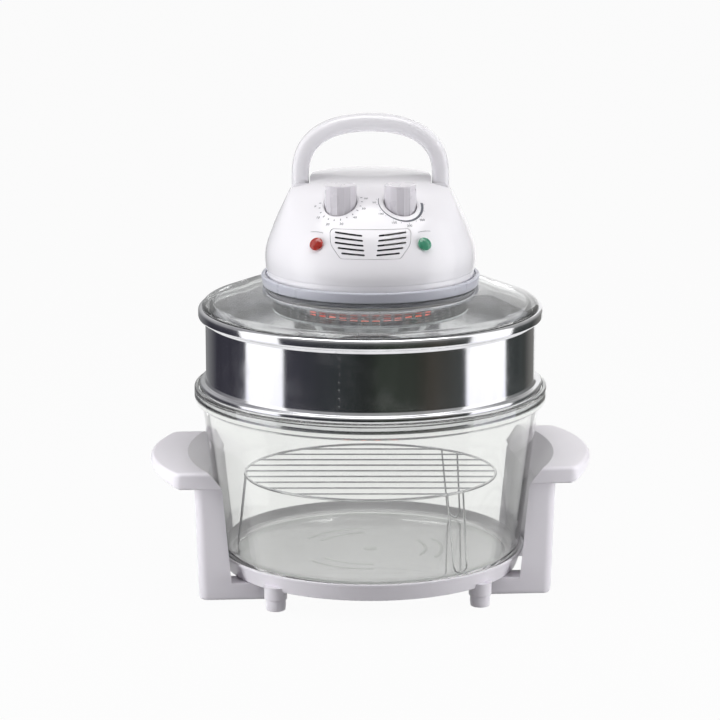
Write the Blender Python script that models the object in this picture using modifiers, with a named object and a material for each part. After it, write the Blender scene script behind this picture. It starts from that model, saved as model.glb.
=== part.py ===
"""A halogen convection oven: a glass bowl on a base with side handles, a steel
extender ring, and a glass lid that carries the heater head.

Metres, +Z up. The origin is on the ground at the centre of the base, the
controls face -Y, and +X is on the right of someone who faces the controls."""

import math

import bmesh
import bpy
import numpy as np
from mathutils import Matrix, Vector

# Clearances, and how far a cutter runs past what it cuts
SEAT_GAP = 0.0003
RUNNING_GAP = 0.0005
OVERRUN = 0.004
MERGE_DISTANCE = 0.00001

# Counts
ROUND_SEGMENTS = 32
INNER_SEGMENTS = 28
SMALL_SEGMENTS = 16
TINY_SEGMENTS = 8
FILLET_STEPS = 2
SMALL_FILLET = 0.003

# Foot pegs
FOOT_RING_INSET = 0.0026
FOOT_ANGLE = 46.3
FOOT_RADIUS = 0.0097
FOOT_HEIGHT = 0.0107
FOOT_CHAMFER = 0.001
FOOT_STEM_RADIUS = 0.004
FOOT_STEM_LENGTH = 0.007
FOOT_BOSS_RADIUS = 0.011

# Base tray
TRAY_LIFT = 0.0086
TRAY_HEIGHT = 0.0178
TRAY_DRAFT = 0.007
TRAY_PLAY = 0.0055
TRAY_RIM_LIP = 0.0034
TRAY_RIM_PROUD = 0.0008
TRAY_WALL = 0.0025
TRAY_FLOOR = 0.0025
TRAY_FLOOR_RISE = 0.0042

# How far the stand is turned under the bowl, in degrees
STAND_TURN = 4.1

# Side handle frames
FRAME_STANDOFF = 0.003
FRAME_FOOT_GAP = 0.014
FRAME_WALL = 0.003
FRAME_CORNER = 0.009
FRAME_BOTTOM = 0.002
FRAME_DRAFT = 0.0042
FRAME_WALL_LIFT = 0.0044
ARM_LAP = 0.030
ARM_DEPTH = 0.026
ARM_ROOF = 0.003
GRIP_TOP = 0.1315
GRIP_PROUD = 0.0408
GRIP_END_PROUD = 0.0175
GRIP_OVERHANG = 0.007
GRIP_ROOT_THICKNESS = 0.0200
GRIP_NOSE_THICKNESS = 0.0110
GRIP_EDGE = 0.0045
GRIP_CORNER = 0.017
GRIP_PLAY = 0.0038
GRIP_INNER_BOW = 0.013
GRIP_SCOOP = 0.017
GRIP_SCOOP_DEPTH = 0.024
GRIP_SCOOP_BOW = 0.019
POST_LEAN = 0.010

# Frame screws, driven up through the arms into the tray
SCREW_INSET = 0.0044
SCREW_RADIUS = 0.00175
SCREW_HEAD_RADIUS = 0.0035
SCREW_HEAD_HEIGHT = 0.002
SCREW_BITE = 0.005
SCREW_BOSS_RADIUS = 0.0045

# Glass bowl
BOWL_RIM_RADIUS = 0.1725
BOWL_HEIGHT = 0.172
BOWL_RIM_DEPTH = 0.0175
BOWL_RIM_LIP = 0.0035
BOWL_RIM_UNDERCUT = 0.0035
BOWL_LEDGE_DEPTH = 0.0038
BOWL_TAPER = 0.12
BOWL_RIM_STEP = 0.005716
BOWL_WALL = 0.005
BOWL_FLOOR = 0.0055
BOWL_CORNER = 0.014

# Wire rack
RACK_HEIGHT = 0.0745
RACK_PLAY = 0.0181
RACK_RING_WIRE = 0.0015
RACK_CROSS_WIRE = 0.0011
RACK_CROSS_COUNT = 9
RACK_CROSS_SPAN_SHARE = 0.8032
RACK_LEG_WIRE = 0.00115
RACK_LEG_WIDTH = 0.0205
RACK_LEG_SPLAY = 0.008
RACK_LEG_ANGLES = (180.0, -49.0, 49.0)

# Extender ring
RING_HEIGHT = 0.0817
RING_SHEET = 0.0012
RING_BEAD_REACH = 0.0069
RING_BEAD_HEIGHT = 0.0108
RING_BEAD_FILLET = 0.0029
RING_FOOT_PLAY = 0.0017
RING_FOOT_BEAD_REACH = 0.0062
RING_FOOT_BEAD_HEIGHT = 0.0085
RING_FOOT_FILLET = 0.0034
RING_SKIRT_INSET = 0.0009
RING_SKIRT_DEPTH = 0.0088

# Glass lid
LID_RIM_INSET = 0.003
LID_SEAT_FILLET = 0.0006
LID_GLASS = 0.0045
LID_HEIGHT = 0.0209
LID_FLAT_MARGIN = 0.0096
LID_SHOULDER_INSET = 0.003
LID_SHOULDER_HEIGHT = 0.0042
LID_HOLE_MARGIN = 0.0013
LID_FLAT_FILLET = 0.050
LID_SHOULDER_FILLET = 0.006
LID_SPIGOT_PLAY = 0.001
LID_SPIGOT_WIDTH = 0.004
LID_SPIGOT_DEPTH = 0.0053

# Collar between the glass lid and the head
COLLAR_PROUD = 0.004
COLLAR_HEIGHT = 0.0104
COLLAR_WALL = 0.0034
COLLAR_TOP_WALL = 0.004
COLLAR_DECK_TOP = 0.0096
COLLAR_DECK = 0.0036
COLLAR_GROOVE = 0.0022
COLLAR_GROOVE_DEPTH = 0.0017
COLLAR_NECK_PLAY = 0.0006
COLLAR_NECK_WALL = 0.0049
COLLAR_NECK_DEPTH = 0.007
COLLAR_FILLET = 0.0024

# Clamp ring and gasket under the glass lid
CLAMP_REACH = 0.013
CLAMP_INNER_MARGIN = 0.0065
CLAMP_THICKNESS = 0.0024
GASKET_INNER_MARGIN = 0.0025
GASKET_OUTER_MARGIN = 0.0015
CLAMP_SCREW_RADIUS = 0.0014
CLAMP_SCREW_HEAD = 0.0026
CLAMP_SCREW_HEAD_HEIGHT = 0.0017
CLAMP_SCREW_BITE = 0.008
LID_SCREW_ANGLES = (45.0, 135.0, 225.0, 315.0)

# Head housing
DOME_RADIUS = 0.1026
DOME_HEIGHT = 0.0965
DOME_LIP_INSET = 0.0018
DOME_LIP_HEIGHT = 0.006
DOME_SHARES = ((0.067, 0.977), (0.155, 1.0), (0.270, 0.993), (0.428, 0.942), (0.552, 0.898),
               (0.674, 0.844), (0.797, 0.782), (0.912, 0.733), (0.970, 0.692), (1.0, 0.60))
INNER_DOME_SHARES = ((0.067, 0.977), (0.210, 1.0), (0.552, 0.898), (0.912, 0.733), (1.0, 0.60))
FACE_CURVE_EXTRA = 0.0074
FACE_SHARES = ((-0.10, 1.16), (0.146, 1.012), (0.303, 0.930), (0.428, 0.858), (0.552, 0.772),
               (0.674, 0.653), (0.777, 0.510), (0.860, 0.352), (0.923, 0.150), (0.966, -0.150),
               (0.990, -0.760))
INNER_FACE_SHARES = ((-0.10, 1.16), (0.303, 0.930), (0.552, 0.772), (0.777, 0.510),
                     (0.923, 0.150), (0.990, -0.760))
HOUSING_WALL = 0.0026
HOUSING_SCREW_INSET = 0.006
HOUSING_BOSS_RADIUS = 0.0052
HOUSING_BOSS_HEIGHT = 0.014
HOUSING_SCREW_BITE = 0.011

# Vent grille, let into the housing's face, and the slots at the back
VENT_BOTTOM_SHARE = 0.3171
VENT_HEIGHT_SHARE = 0.26425
VENT_LAMP_MARGIN = 0.00615
VENT_FLARE = 0.0098
VENT_SHOULDER_SHARE = 0.47
VENT_SHOULDER_INSET = 0.0004
VENT_SHOULDER_FILLET = 0.012
VENT_CORNER = 0.0035
VENT_SLOT_ROWS = 5
VENT_SLOT_HEIGHT = 0.0021
VENT_SLOT_PITCH = 0.00425
VENT_SLOT_RISE = 0.0042
VENT_SLOT_MARGIN = 0.0038
VENT_SPINE_TOP_HALF = 0.0077
VENT_SPINE_BOTTOM_HALF = 0.0054
VENT_SLOT_TILT = 3.5
VENT_SLOT_FAN = 1.8
BACK_SLOT_HALF = 0.024
BACK_SLOT_PITCH = 0.0075
BACK_SLOT_HEIGHT = 0.0028
BACK_SLOT_COUNT = 5
BACK_SLOT_RISE_SHARE = 0.26943

# Pilot lamps
LAMP_X_SHARE = 0.4942
LAMP_RISE_SHARE = 0.42902
LAMP_RADIUS = 0.00625
LAMP_PROUD = 0.0028
LAMP_STEM_RADIUS = 0.0048
LAMP_STEM_LENGTH = 0.007
LAMP_FLANGE = 0.0012
LAMP_HOLDER_RADIUS = 0.0062
LAMP_HOLDER_LENGTH = 0.010
LAMP_TILT = 34.0
LAMP_TURN = 24.0

# Control knobs, on upright shafts
KNOB_X_SHARE = 0.2768
KNOB_Y_SHARE = 0.4259
KNOB_RADIUS = 0.01515
KNOB_TOP_DROP = 0.0024
KNOB_HEIGHT = 0.034
KNOB_PLAY = 0.00215
KNOB_FLUTES = 20
KNOB_FLUTE_DEPTH = 0.0005
KNOB_EDGE = 0.0011
KNOB_ROOF = 0.003
KNOB_WALL = 0.002
KNOB_BOSS_RADIUS = 0.0055
KNOB_MARK_LENGTH = 0.010
KNOB_MARK_WIDTH = 0.0012
KNOB_MARK_HEIGHT = 0.0006
KNOB_SHAFT_RADIUS = 0.003
KNOB_SHAFT_LENGTH = 0.036

# Carrying handle and its pivots
HANDLE_PIVOT_Y = 0.014
HANDLE_PIVOT_DROP = 0.0204
HANDLE_LEG = 0.021
HANDLE_INSET = 0.026
HANDLE_THICKNESS = 0.0168
HANDLE_ARCH_RISE = 0.0575
HANDLE_DEPTH = 0.0235
HANDLE_TOP_THICKNESS = 0.0178
HANDLE_ARCH_POWER = 2.35
HANDLE_ARCH_STEPS = 18
HANDLE_FOOT_RADIUS = 0.0118
SLOT_PLAY = 0.0009
PIN_RADIUS = 0.003
PIN_HEAD_RADIUS = 0.005
PIN_HEAD_LENGTH = 0.0034
PIN_END_WALL = 0.0038

# Motor, its plate, and the rotor
MOTOR_PLATE_MARGIN = 0.0014
MOTOR_PLATE_THICKNESS = 0.002
MOTOR_PLATE_HOLE = 0.009
MOTOR_MARGIN = 0.0056
MOTOR_SHARE = 0.7807
MOTOR_CAP_RADIUS = 0.012
MOTOR_CAP_HEIGHT = 0.006
MOTOR_EDGE = 0.003
SHAFT_RADIUS = 0.004
SHAFT_BOTTOM_END = 0.0008
SHAFT_TOP_END = 0.003
COOLING_FAN_LIFT = 0.0098
COOLING_FAN_MARGIN = 0.004
COOLING_FAN_HEIGHT = 0.009
COOLING_HUB_RADIUS = 0.009
COOLING_BLADES = 7
CIRCULATION_FAN_DROP = 0.0023
CIRCULATION_FAN_SHARE = 0.529
CIRCULATION_BLADE_DEPTH = 0.009
CIRCULATION_DISC = 0.0012
CIRCULATION_HUB_RADIUS = 0.008
CIRCULATION_BLADES = 8
BLADE_THICKNESS = 0.0012
NUT_RADIUS = 0.006
NUT_HEIGHT = 0.0032

# Controls inside the head
BRACKET_TOP_DROP = 0.0404
BRACKET_SIDE_LAP = 0.0156
BRACKET_FRONT_LAP = 0.0143
BRACKET_BACK_LAP = 0.0152
BRACKET_SHEET = 0.0015
BRACKET_LEG_HALF_DEPTH = 0.009
TIMER_RADIUS = 0.0155
TIMER_SHARE = 0.4461
THERMOSTAT_WIDTH = 0.030
THERMOSTAT_DEPTH = 0.026
THERMOSTAT_SHARE = 0.3532
CONTROL_NECK_RADIUS = 0.005
CONTROL_NECK_HEIGHT = 0.004
TERMINAL_WIDTH = 0.042
TERMINAL_DEPTH = 0.014
TERMINAL_HEIGHT = 0.012
TERMINAL_Y_SHARE = 0.68
CUTOUT_RADIUS = 0.0085
CUTOUT_HEIGHT = 0.006
CUTOUT_RING_SHARE = 0.7207
CUTOUT_ANGLE = 24.14
SWITCH_WIDTH = 0.007
SWITCH_DEPTH = 0.020
SWITCH_HEIGHT = 0.009
GLAND_RISE = 0.015
GLAND_RADIUS = 0.0062
GLAND_FLANGE_RADIUS = 0.0085
GLAND_FLANGE = 0.002
GLAND_LENGTH = 0.012
GLAND_BORE = 0.0035

# Heater under the lid
REFLECTOR_MARGIN = 0.0012
REFLECTOR_THICKNESS = 0.0012
REFLECTOR_HOLE = 0.0062
TUBE_RING_SHARE = 0.6735
TUBE_RADIUS = 0.0045
TUBE_DROP = 0.0188
TUBE_GAP_ANGLE = 36.0
TUBE_RISE = 0.011
HOLDER_WIDTH = 0.012
HOLDER_DEPTH = 0.013
HOLDER_HEIGHT = 0.011
GUARD_INSET = 0.0085
GUARD_SHEET = 0.0012
GUARD_DEPTH = 0.0168
GUARD_LIP = 0.0012
GUARD_DISH_SHARE = 0.6984
GUARD_DISH_DRAFT = 0.0085
GUARD_DISH_DEPTH = 0.0167
GUARD_WALL_SLOTS = 24
GUARD_SLOT_WIDTH = 0.0075
GUARD_SLOT_HEIGHT = 0.0100
GUARD_SLOT_LIFT = 0.0006
GUARD_GRILLE_SLOTS = 12
GUARD_GRILLE_SLOT_WIDTH = 0.005
GUARD_GRILLE_INNER = 0.016
GUARD_GRILLE_MARGIN = 0.0085

# Heights that follow from the sizes above, from the ground up
TRAY_UNDERSIDE = FOOT_HEIGHT + TRAY_LIFT
TRAY_TOP = TRAY_UNDERSIDE + TRAY_HEIGHT
TRAY_FLOOR_BOTTOM = TRAY_UNDERSIDE + TRAY_FLOOR_RISE
TRAY_FLOOR_TOP = TRAY_FLOOR_BOTTOM + TRAY_FLOOR
ARM_TOP = TRAY_UNDERSIDE - SEAT_GAP
FRAME_WALL_BOTTOM = ARM_TOP + FRAME_WALL_LIFT
BOWL_BOTTOM = TRAY_FLOOR_TOP + SEAT_GAP
BOWL_FLOOR_TOP = BOWL_BOTTOM + BOWL_FLOOR
BOWL_RIM_TOP = BOWL_BOTTOM + BOWL_HEIGHT
BOWL_LEDGE = BOWL_RIM_TOP - BOWL_LEDGE_DEPTH
RACK_CENTRE_Z = BOWL_FLOOR_TOP + RACK_HEIGHT
RING_FOOT = BOWL_LEDGE + SEAT_GAP
RING_BEAD_TOP = RING_FOOT + RING_HEIGHT
LID_RIM = RING_BEAD_TOP + SEAT_GAP
LID_TOP = LID_RIM + LID_HEIGHT
COLLAR_BOTTOM = LID_TOP + SEAT_GAP
COLLAR_DECK_Z = COLLAR_BOTTOM + COLLAR_DECK_TOP
COLLAR_NECK_BOTTOM = COLLAR_BOTTOM - COLLAR_NECK_DEPTH
CLAMP_TOP = COLLAR_NECK_BOTTOM - SEAT_GAP
CLAMP_BOTTOM = CLAMP_TOP - CLAMP_THICKNESS
REFLECTOR_TOP = CLAMP_BOTTOM - SEAT_GAP
REFLECTOR_BOTTOM = REFLECTOR_TOP - REFLECTOR_THICKNESS
GUARD_TOP = CLAMP_BOTTOM - SEAT_GAP
GUARD_FLOOR = GUARD_TOP - GUARD_DEPTH
TUBE_CENTRE_Z = REFLECTOR_BOTTOM - TUBE_DROP
CIRCULATION_FAN_TOP = REFLECTOR_BOTTOM - CIRCULATION_FAN_DROP
CIRCULATION_FAN_BOTTOM = CIRCULATION_FAN_TOP - CIRCULATION_DISC - CIRCULATION_BLADE_DEPTH
NUT_TOP = CIRCULATION_FAN_BOTTOM - SEAT_GAP
SHAFT_BOTTOM = NUT_TOP - NUT_HEIGHT - SHAFT_BOTTOM_END
HOUSING_BOTTOM = COLLAR_DECK_Z + SEAT_GAP
DOME_TOP = HOUSING_BOTTOM + DOME_HEIGHT
VENT_BOTTOM = DOME_HEIGHT * VENT_BOTTOM_SHARE
VENT_HEIGHT = DOME_HEIGHT * VENT_HEIGHT_SHARE
BACK_SLOT_RISE = DOME_HEIGHT * BACK_SLOT_RISE_SHARE
LAMP_RISE = DOME_HEIGHT * LAMP_RISE_SHARE
MOTOR_PLATE_TOP = HOUSING_BOTTOM + MOTOR_PLATE_THICKNESS
MOTOR_BOTTOM = MOTOR_PLATE_TOP + SEAT_GAP
BRACKET_TOP = DOME_TOP - BRACKET_TOP_DROP
KNOB_TOP = DOME_TOP - KNOB_TOP_DROP
MOTOR_HEIGHT = (BRACKET_TOP - MOTOR_BOTTOM) * MOTOR_SHARE
TIMER_HEIGHT = (BRACKET_TOP - MOTOR_BOTTOM) * TIMER_SHARE
THERMOSTAT_HEIGHT = (BRACKET_TOP - MOTOR_BOTTOM) * THERMOSTAT_SHARE
COOLING_FAN_BOTTOM = MOTOR_BOTTOM + MOTOR_HEIGHT + MOTOR_CAP_HEIGHT + COOLING_FAN_LIFT
SHAFT_TOP = COOLING_FAN_BOTTOM + COOLING_FAN_HEIGHT + SHAFT_TOP_END
HANDLE_PIVOT_Z = DOME_TOP - HANDLE_PIVOT_DROP
HANDLE_SPRING_Z = HANDLE_PIVOT_Z + HANDLE_LEG
HANDLE_TOP = HANDLE_SPRING_Z + HANDLE_ARCH_RISE
SLOT_FLOOR_Z = HANDLE_PIVOT_Z - HANDLE_FOOT_RADIUS - SLOT_PLAY

# Radii and places that follow, from the bowl's rim: the ring and the lid go in it, the base round it
RING_FOOT_BEAD_RADIUS = BOWL_RIM_RADIUS - BOWL_RIM_LIP - RING_FOOT_PLAY
RING_WALL_RADIUS = RING_FOOT_BEAD_RADIUS - RING_FOOT_BEAD_REACH
RING_BEAD_RADIUS = RING_WALL_RADIUS + RING_BEAD_REACH
RING_SKIRT_RADIUS = RING_WALL_RADIUS - RING_SKIRT_INSET
LID_RIM_RADIUS = RING_BEAD_RADIUS - LID_RIM_INSET
LID_SHOULDER_RADIUS = LID_RIM_RADIUS - LID_SHOULDER_INSET
LID_SPIGOT_RADIUS = RING_WALL_RADIUS - RING_SHEET - LID_SPIGOT_PLAY
BOWL_FOOT_RADIUS = BOWL_RIM_RADIUS - BOWL_RIM_STEP - BOWL_TAPER * (BOWL_LEDGE - BOWL_BOTTOM)
RACK_RING_RADIUS = BOWL_FOOT_RADIUS - BOWL_WALL - RACK_PLAY
RACK_LEG_FOOT_RADIUS = RACK_RING_RADIUS + RACK_LEG_SPLAY
RACK_CROSS_SPACING = 2 * RACK_RING_RADIUS * RACK_CROSS_SPAN_SHARE / (RACK_CROSS_COUNT - 1)
TRAY_RIM_RADIUS = BOWL_FOOT_RADIUS + TRAY_PLAY
TRAY_FOOT_RADIUS = TRAY_RIM_RADIUS - TRAY_DRAFT
FOOT_RING = TRAY_FOOT_RADIUS - FOOT_RING_INSET
FOOT_X = FOOT_RING * math.cos(math.radians(FOOT_ANGLE))
FOOT_Y = FOOT_RING * math.sin(math.radians(FOOT_ANGLE))
FRAME_FRONT_Y = FOOT_Y - FOOT_BOSS_RADIUS - FRAME_FOOT_GAP
SCREW_RING = TRAY_FOOT_RADIUS - TRAY_WALL - SCREW_INSET
SCREW_Y = FRAME_FRONT_Y - ARM_DEPTH / 2
SCREW_X = math.sqrt(SCREW_RING ** 2 - SCREW_Y ** 2)
ARM_INNER_X = SCREW_X - ARM_LAP
FRAME_OUTER_X = BOWL_RIM_RADIUS + FRAME_STANDOFF
GRIP_REACH_X = FRAME_OUTER_X + GRIP_PROUD
GRIP_END_X = FRAME_OUTER_X + GRIP_END_PROUD
GRIP_HALF_LENGTH = FRAME_FRONT_Y + GRIP_OVERHANG
GRIP_INNER_X = BOWL_FOOT_RADIUS + BOWL_TAPER * (GRIP_TOP - BOWL_BOTTOM) + GRIP_PLAY
GRIP_INNER_END_X = GRIP_INNER_X - GRIP_INNER_BOW
POST_INNER_FOOT_X = GRIP_INNER_END_X - POST_LEAN
GRIP_SCOOP_X = GRIP_INNER_X + GRIP_SCOOP
GRIP_SCOOP_END_X = GRIP_SCOOP_X - GRIP_SCOOP_BOW
GRIP_SCOOP_DROP = FRAME_WALL * math.hypot(GRIP_SCOOP, GRIP_SCOOP_DEPTH) / GRIP_SCOOP

# Radii and places that follow from the head's radius, and those of the knobs and the handle
COLLAR_RADIUS = DOME_RADIUS + COLLAR_PROUD
DOME_LIP_RADIUS = DOME_RADIUS - DOME_LIP_INSET
FACE_CURVE_RADIUS = DOME_RADIUS + FACE_CURVE_EXTRA
HOUSING_SCREW_RING = DOME_LIP_RADIUS - HOUSING_SCREW_INSET
LID_HOLE_RADIUS = HOUSING_SCREW_RING - SCREW_HEAD_RADIUS - LID_HOLE_MARGIN
LID_FLAT_RADIUS = COLLAR_RADIUS + LID_FLAT_MARGIN
COLLAR_NECK_RADIUS = LID_HOLE_RADIUS - COLLAR_NECK_PLAY
CLAMP_SCREW_RING = COLLAR_NECK_RADIUS - COLLAR_NECK_WALL / 2
CLAMP_OUTER_RADIUS = LID_HOLE_RADIUS + CLAMP_REACH
CLAMP_INNER_RADIUS = COLLAR_NECK_RADIUS - COLLAR_NECK_WALL - CLAMP_INNER_MARGIN
GASKET_INNER_RADIUS = LID_HOLE_RADIUS + GASKET_INNER_MARGIN
GASKET_OUTER_RADIUS = CLAMP_OUTER_RADIUS - GASKET_OUTER_MARGIN
REFLECTOR_RADIUS = CLAMP_SCREW_RING - CLAMP_SCREW_HEAD - REFLECTOR_MARGIN
GUARD_RADIUS = CLAMP_OUTER_RADIUS - GUARD_INSET
MOTOR_PLATE_RADIUS = HOUSING_SCREW_RING - HOUSING_BOSS_RADIUS - MOTOR_PLATE_MARGIN
TUBE_RING_RADIUS = REFLECTOR_RADIUS * TUBE_RING_SHARE
CIRCULATION_FAN_RADIUS = REFLECTOR_RADIUS * CIRCULATION_FAN_SHARE
GUARD_DISH_RADIUS = GUARD_RADIUS * GUARD_DISH_SHARE
GUARD_DISH_FOOT_RADIUS = GUARD_DISH_RADIUS - GUARD_DISH_DRAFT
GUARD_GRILLE_OUTER = GUARD_DISH_FOOT_RADIUS - GUARD_GRILLE_MARGIN
TERMINAL_Y = MOTOR_PLATE_RADIUS * TERMINAL_Y_SHARE
CUTOUT_RING = MOTOR_PLATE_RADIUS * CUTOUT_RING_SHARE
KNOB_X = DOME_RADIUS * KNOB_X_SHARE
KNOB_Y = DOME_RADIUS * KNOB_Y_SHARE
KNOB_WELL_RADIUS = KNOB_RADIUS + KNOB_PLAY
KNOB_RING = math.hypot(KNOB_X, KNOB_Y)
MOTOR_RADIUS = KNOB_RING - TIMER_RADIUS - MOTOR_MARGIN
COOLING_FAN_RADIUS = KNOB_RING - KNOB_RADIUS - COOLING_FAN_MARGIN
LAMP_X = DOME_RADIUS * LAMP_X_SHARE
VENT_TOP_HALF = LAMP_X - LAMP_RADIUS - VENT_LAMP_MARGIN
VENT_BOTTOM_HALF = VENT_TOP_HALF - VENT_FLARE
VENT_SHOULDER_HALF = VENT_TOP_HALF - VENT_SHOULDER_INSET
BRACKET_HALF_WIDTH = KNOB_X + BRACKET_SIDE_LAP
BRACKET_FRONT_Y = KNOB_Y + BRACKET_FRONT_LAP
BRACKET_BACK_Y = KNOB_Y - BRACKET_BACK_LAP
HANDLE_OUTER_HALF = DOME_RADIUS - HANDLE_INSET
HANDLE_INNER_HALF = HANDLE_OUTER_HALF - HANDLE_THICKNESS
PIN_REACH = HANDLE_THICKNESS - PIN_END_WALL
SLOT_INNER_X = HANDLE_INNER_HALF - SLOT_PLAY
SLOT_OUTER_X = HANDLE_OUTER_HALF + SLOT_PLAY
SLOT_FRONT_Y = HANDLE_PIVOT_Y - HANDLE_FOOT_RADIUS - SLOT_PLAY

# Colours, as red, green, blue and alpha
WHITE_PLASTIC = (0.86, 0.85, 0.87, 1.0)
GREY_PLASTIC = (0.74, 0.73, 0.78, 1.0)
CLEAR_GLASS = (0.80, 0.86, 0.84, 0.35)
STEEL = (0.60, 0.60, 0.62, 1.0)
DARK_STEEL = (0.25, 0.25, 0.27, 1.0)
BLACK_PLASTIC = (0.05, 0.05, 0.05, 1.0)
RED_LENS = (0.70, 0.05, 0.03, 1.0)
GREEN_LENS = (0.10, 0.50, 0.32, 1.0)
CERAMIC = (0.85, 0.82, 0.76, 1.0)
HOT_TUBE = (0.80, 0.25, 0.10, 1.0)
BRASS = (0.72, 0.55, 0.25, 1.0)
SILICONE = (0.65, 0.30, 0.20, 1.0)

for leftover in list(bpy.data.objects):
    bpy.data.objects.remove(leftover, do_unlink=True)

parts = bpy.data.collections.new("halogen_oven")
cutters = bpy.data.collections.new("cutters")
bpy.context.scene.collection.children.link(parts)
bpy.context.scene.collection.children.link(cutters)


def finish(name, colour, roughness, metallic=0.0):
    """A Principled material with one colour."""
    made = bpy.data.materials.new(name)
    made.use_nodes = True
    shader = made.node_tree.nodes["Principled BSDF"]
    shader.inputs["Base Color"].default_value = colour
    shader.inputs["Alpha"].default_value = colour[3]
    shader.inputs["Roughness"].default_value = roughness
    shader.inputs["Metallic"].default_value = metallic
    made.diffuse_color = colour
    return made


FINISHES = {
    "white": finish("white_plastic", WHITE_PLASTIC, 0.35),
    "grey": finish("grey_plastic", GREY_PLASTIC, 0.4),
    "glass": finish("clear_glass", CLEAR_GLASS, 0.05),
    "steel": finish("polished_steel", STEEL, 0.2, 1.0),
    "dark_steel": finish("dark_steel", DARK_STEEL, 0.35, 1.0),
    "black": finish("black_plastic", BLACK_PLASTIC, 0.5),
    "red": finish("red_lens", RED_LENS, 0.15),
    "green": finish("green_lens", GREEN_LENS, 0.15),
    "ceramic": finish("ceramic", CERAMIC, 0.7),
    "hot_tube": finish("heater_tube", HOT_TUBE, 0.1),
    "brass": finish("brass", BRASS, 0.3, 1.0),
    "silicone": finish("silicone", SILICONE, 0.8),
}


def place(name, mesh, finish_name=None, smooth=True):
    """An object of the mesh among the parts, or among the cutters where it has no finish."""
    made = bpy.data.objects.new(name, mesh)
    if finish_name is None:
        cutters.objects.link(made)
        made.hide_render = True
        made.display_type = "WIRE"
        return made
    parts.objects.link(made)
    mesh.materials.clear()
    mesh.materials.append(FINISHES[finish_name])
    if smooth:
        mesh.shade_smooth()
        mesh.set_sharp_from_angle(angle=math.radians(35.0))
    return made


def mesh_of(built, name):
    """The bmesh as mesh data, with its faces pointing out."""
    bmesh.ops.recalc_face_normals(built, faces=built.faces)
    mesh = bpy.data.meshes.new(name)
    built.to_mesh(mesh)
    built.free()
    return mesh


def evaluated_mesh(made):
    """The object's mesh with its modifiers applied and its place baked in."""
    bpy.context.view_layer.update()
    seen = made.evaluated_get(bpy.context.evaluated_depsgraph_get())
    mesh = bpy.data.meshes.new_from_object(seen)
    mesh.transform(made.matrix_world)
    return mesh


def settled(made):
    """The object with its modifiers applied, placed at the origin."""
    mesh = evaluated_mesh(made)
    finish_name = made.data.materials[0] if made.data.materials else None
    made.modifiers.clear()
    made.matrix_world = Matrix.Identity(4)
    made.data = mesh
    if finish_name and not mesh.materials:
        mesh.materials.append(finish_name)
    return made


def boolean(made, other, operation):
    """Joins the other object to this one, or takes it out, and drops the other."""
    step = made.modifiers.new(operation.lower(), "BOOLEAN")
    step.operation = operation
    step.solver = "EXACT"
    step.object = other
    settled(made)
    bpy.data.objects.remove(other, do_unlink=True)
    return made


def cut(made, *others):
    for other in others:
        boolean(made, other, "DIFFERENCE")
    return made


def join(made, *others):
    for other in others:
        boolean(made, other, "UNION")
    return made


def shade(made):
    made.data.shade_smooth()
    made.data.set_sharp_from_angle(angle=math.radians(35.0))
    return made


def rounded_outline(corners, steps=FILLET_STEPS):
    """The points of a closed outline whose corners (across, up, fillet radius) are rounded."""
    outline = []
    for index, (across, up, radius) in enumerate(corners):
        here = Vector((across, up))
        before = Vector(corners[index - 1][:2]) - here
        after = Vector(corners[(index + 1) % len(corners)][:2]) - here
        if radius <= 0.0 or before.length == 0.0 or after.length == 0.0:
            outline.append(here)
            continue
        half = before.angle(after) / 2
        setback = min(radius / math.tan(half), before.length / 2, after.length / 2)
        reach = setback * math.tan(half)
        middle = here + (before.normalized() + after.normalized()).normalized() * reach / math.sin(half)
        start = here + before.normalized() * setback - middle
        turn = start.angle_signed(here + after.normalized() * setback - middle)
        count = 1 if radius < SMALL_FILLET else steps
        for step in range(count + 1):
            outline.append(middle + Matrix.Rotation(-turn * step / count, 2) @ start)
    return outline


def turned(name, corners, finish_name=None, segments=ROUND_SEGMENTS, steps=FILLET_STEPS, centre=(0, 0)):
    """A turned shape: the outline of (radius, height, fillet) corners, swept round a Z axis.

    The corners run down the outer side. An outline that has corners on the axis is left open there."""
    outline = rounded_outline(corners, steps)
    built = bmesh.new()
    ends = [built.verts.new((point.x, 0, point.y)) for point in outline]
    for first, second in zip(ends, ends[1:]):
        built.edges.new((first, second))
    if corners[0][0] > 0.0 or corners[-1][0] > 0.0:
        built.edges.new((ends[-1], ends[0]))
    mesh = bpy.data.meshes.new(name)
    built.to_mesh(mesh)
    built.free()
    made = place(name, mesh, finish_name, smooth=False)
    made.location = (centre[0], centre[1], 0)
    screw = made.modifiers.new("turn", "SCREW")
    screw.axis = "Z"
    screw.steps = segments
    screw.render_steps = segments
    screw.use_merge_vertices = True
    screw.merge_threshold = MERGE_DISTANCE
    settled(made)
    built = bmesh.new()
    built.from_mesh(made.data)
    bmesh.ops.remove_doubles(built, verts=built.verts, dist=MERGE_DISTANCE)
    bmesh.ops.recalc_face_normals(built, faces=built.faces)
    built.to_mesh(made.data)
    built.free()
    return shade(made)


def disc(name, radius, bottom, top, finish_name=None, segments=SMALL_SEGMENTS, centre=(0, 0), edge=0.0):
    """An upright cylinder, with its rims chamfered by edge."""
    built = bmesh.new()
    bmesh.ops.create_cone(built, cap_ends=True, segments=segments, radius1=radius, radius2=radius,
                          depth=top - bottom)
    if edge > 0.0:
        rims = [side for side in built.edges if side.verts[0].co.z == side.verts[1].co.z]
        bmesh.ops.bevel(built, geom=rims, offset=edge, segments=1, affect="EDGES", profile=0.5,
                        material=-1)
    bmesh.ops.translate(built, verts=built.verts, vec=(centre[0], centre[1], (top + bottom) / 2))
    return place(name, mesh_of(built, name), finish_name)


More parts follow.
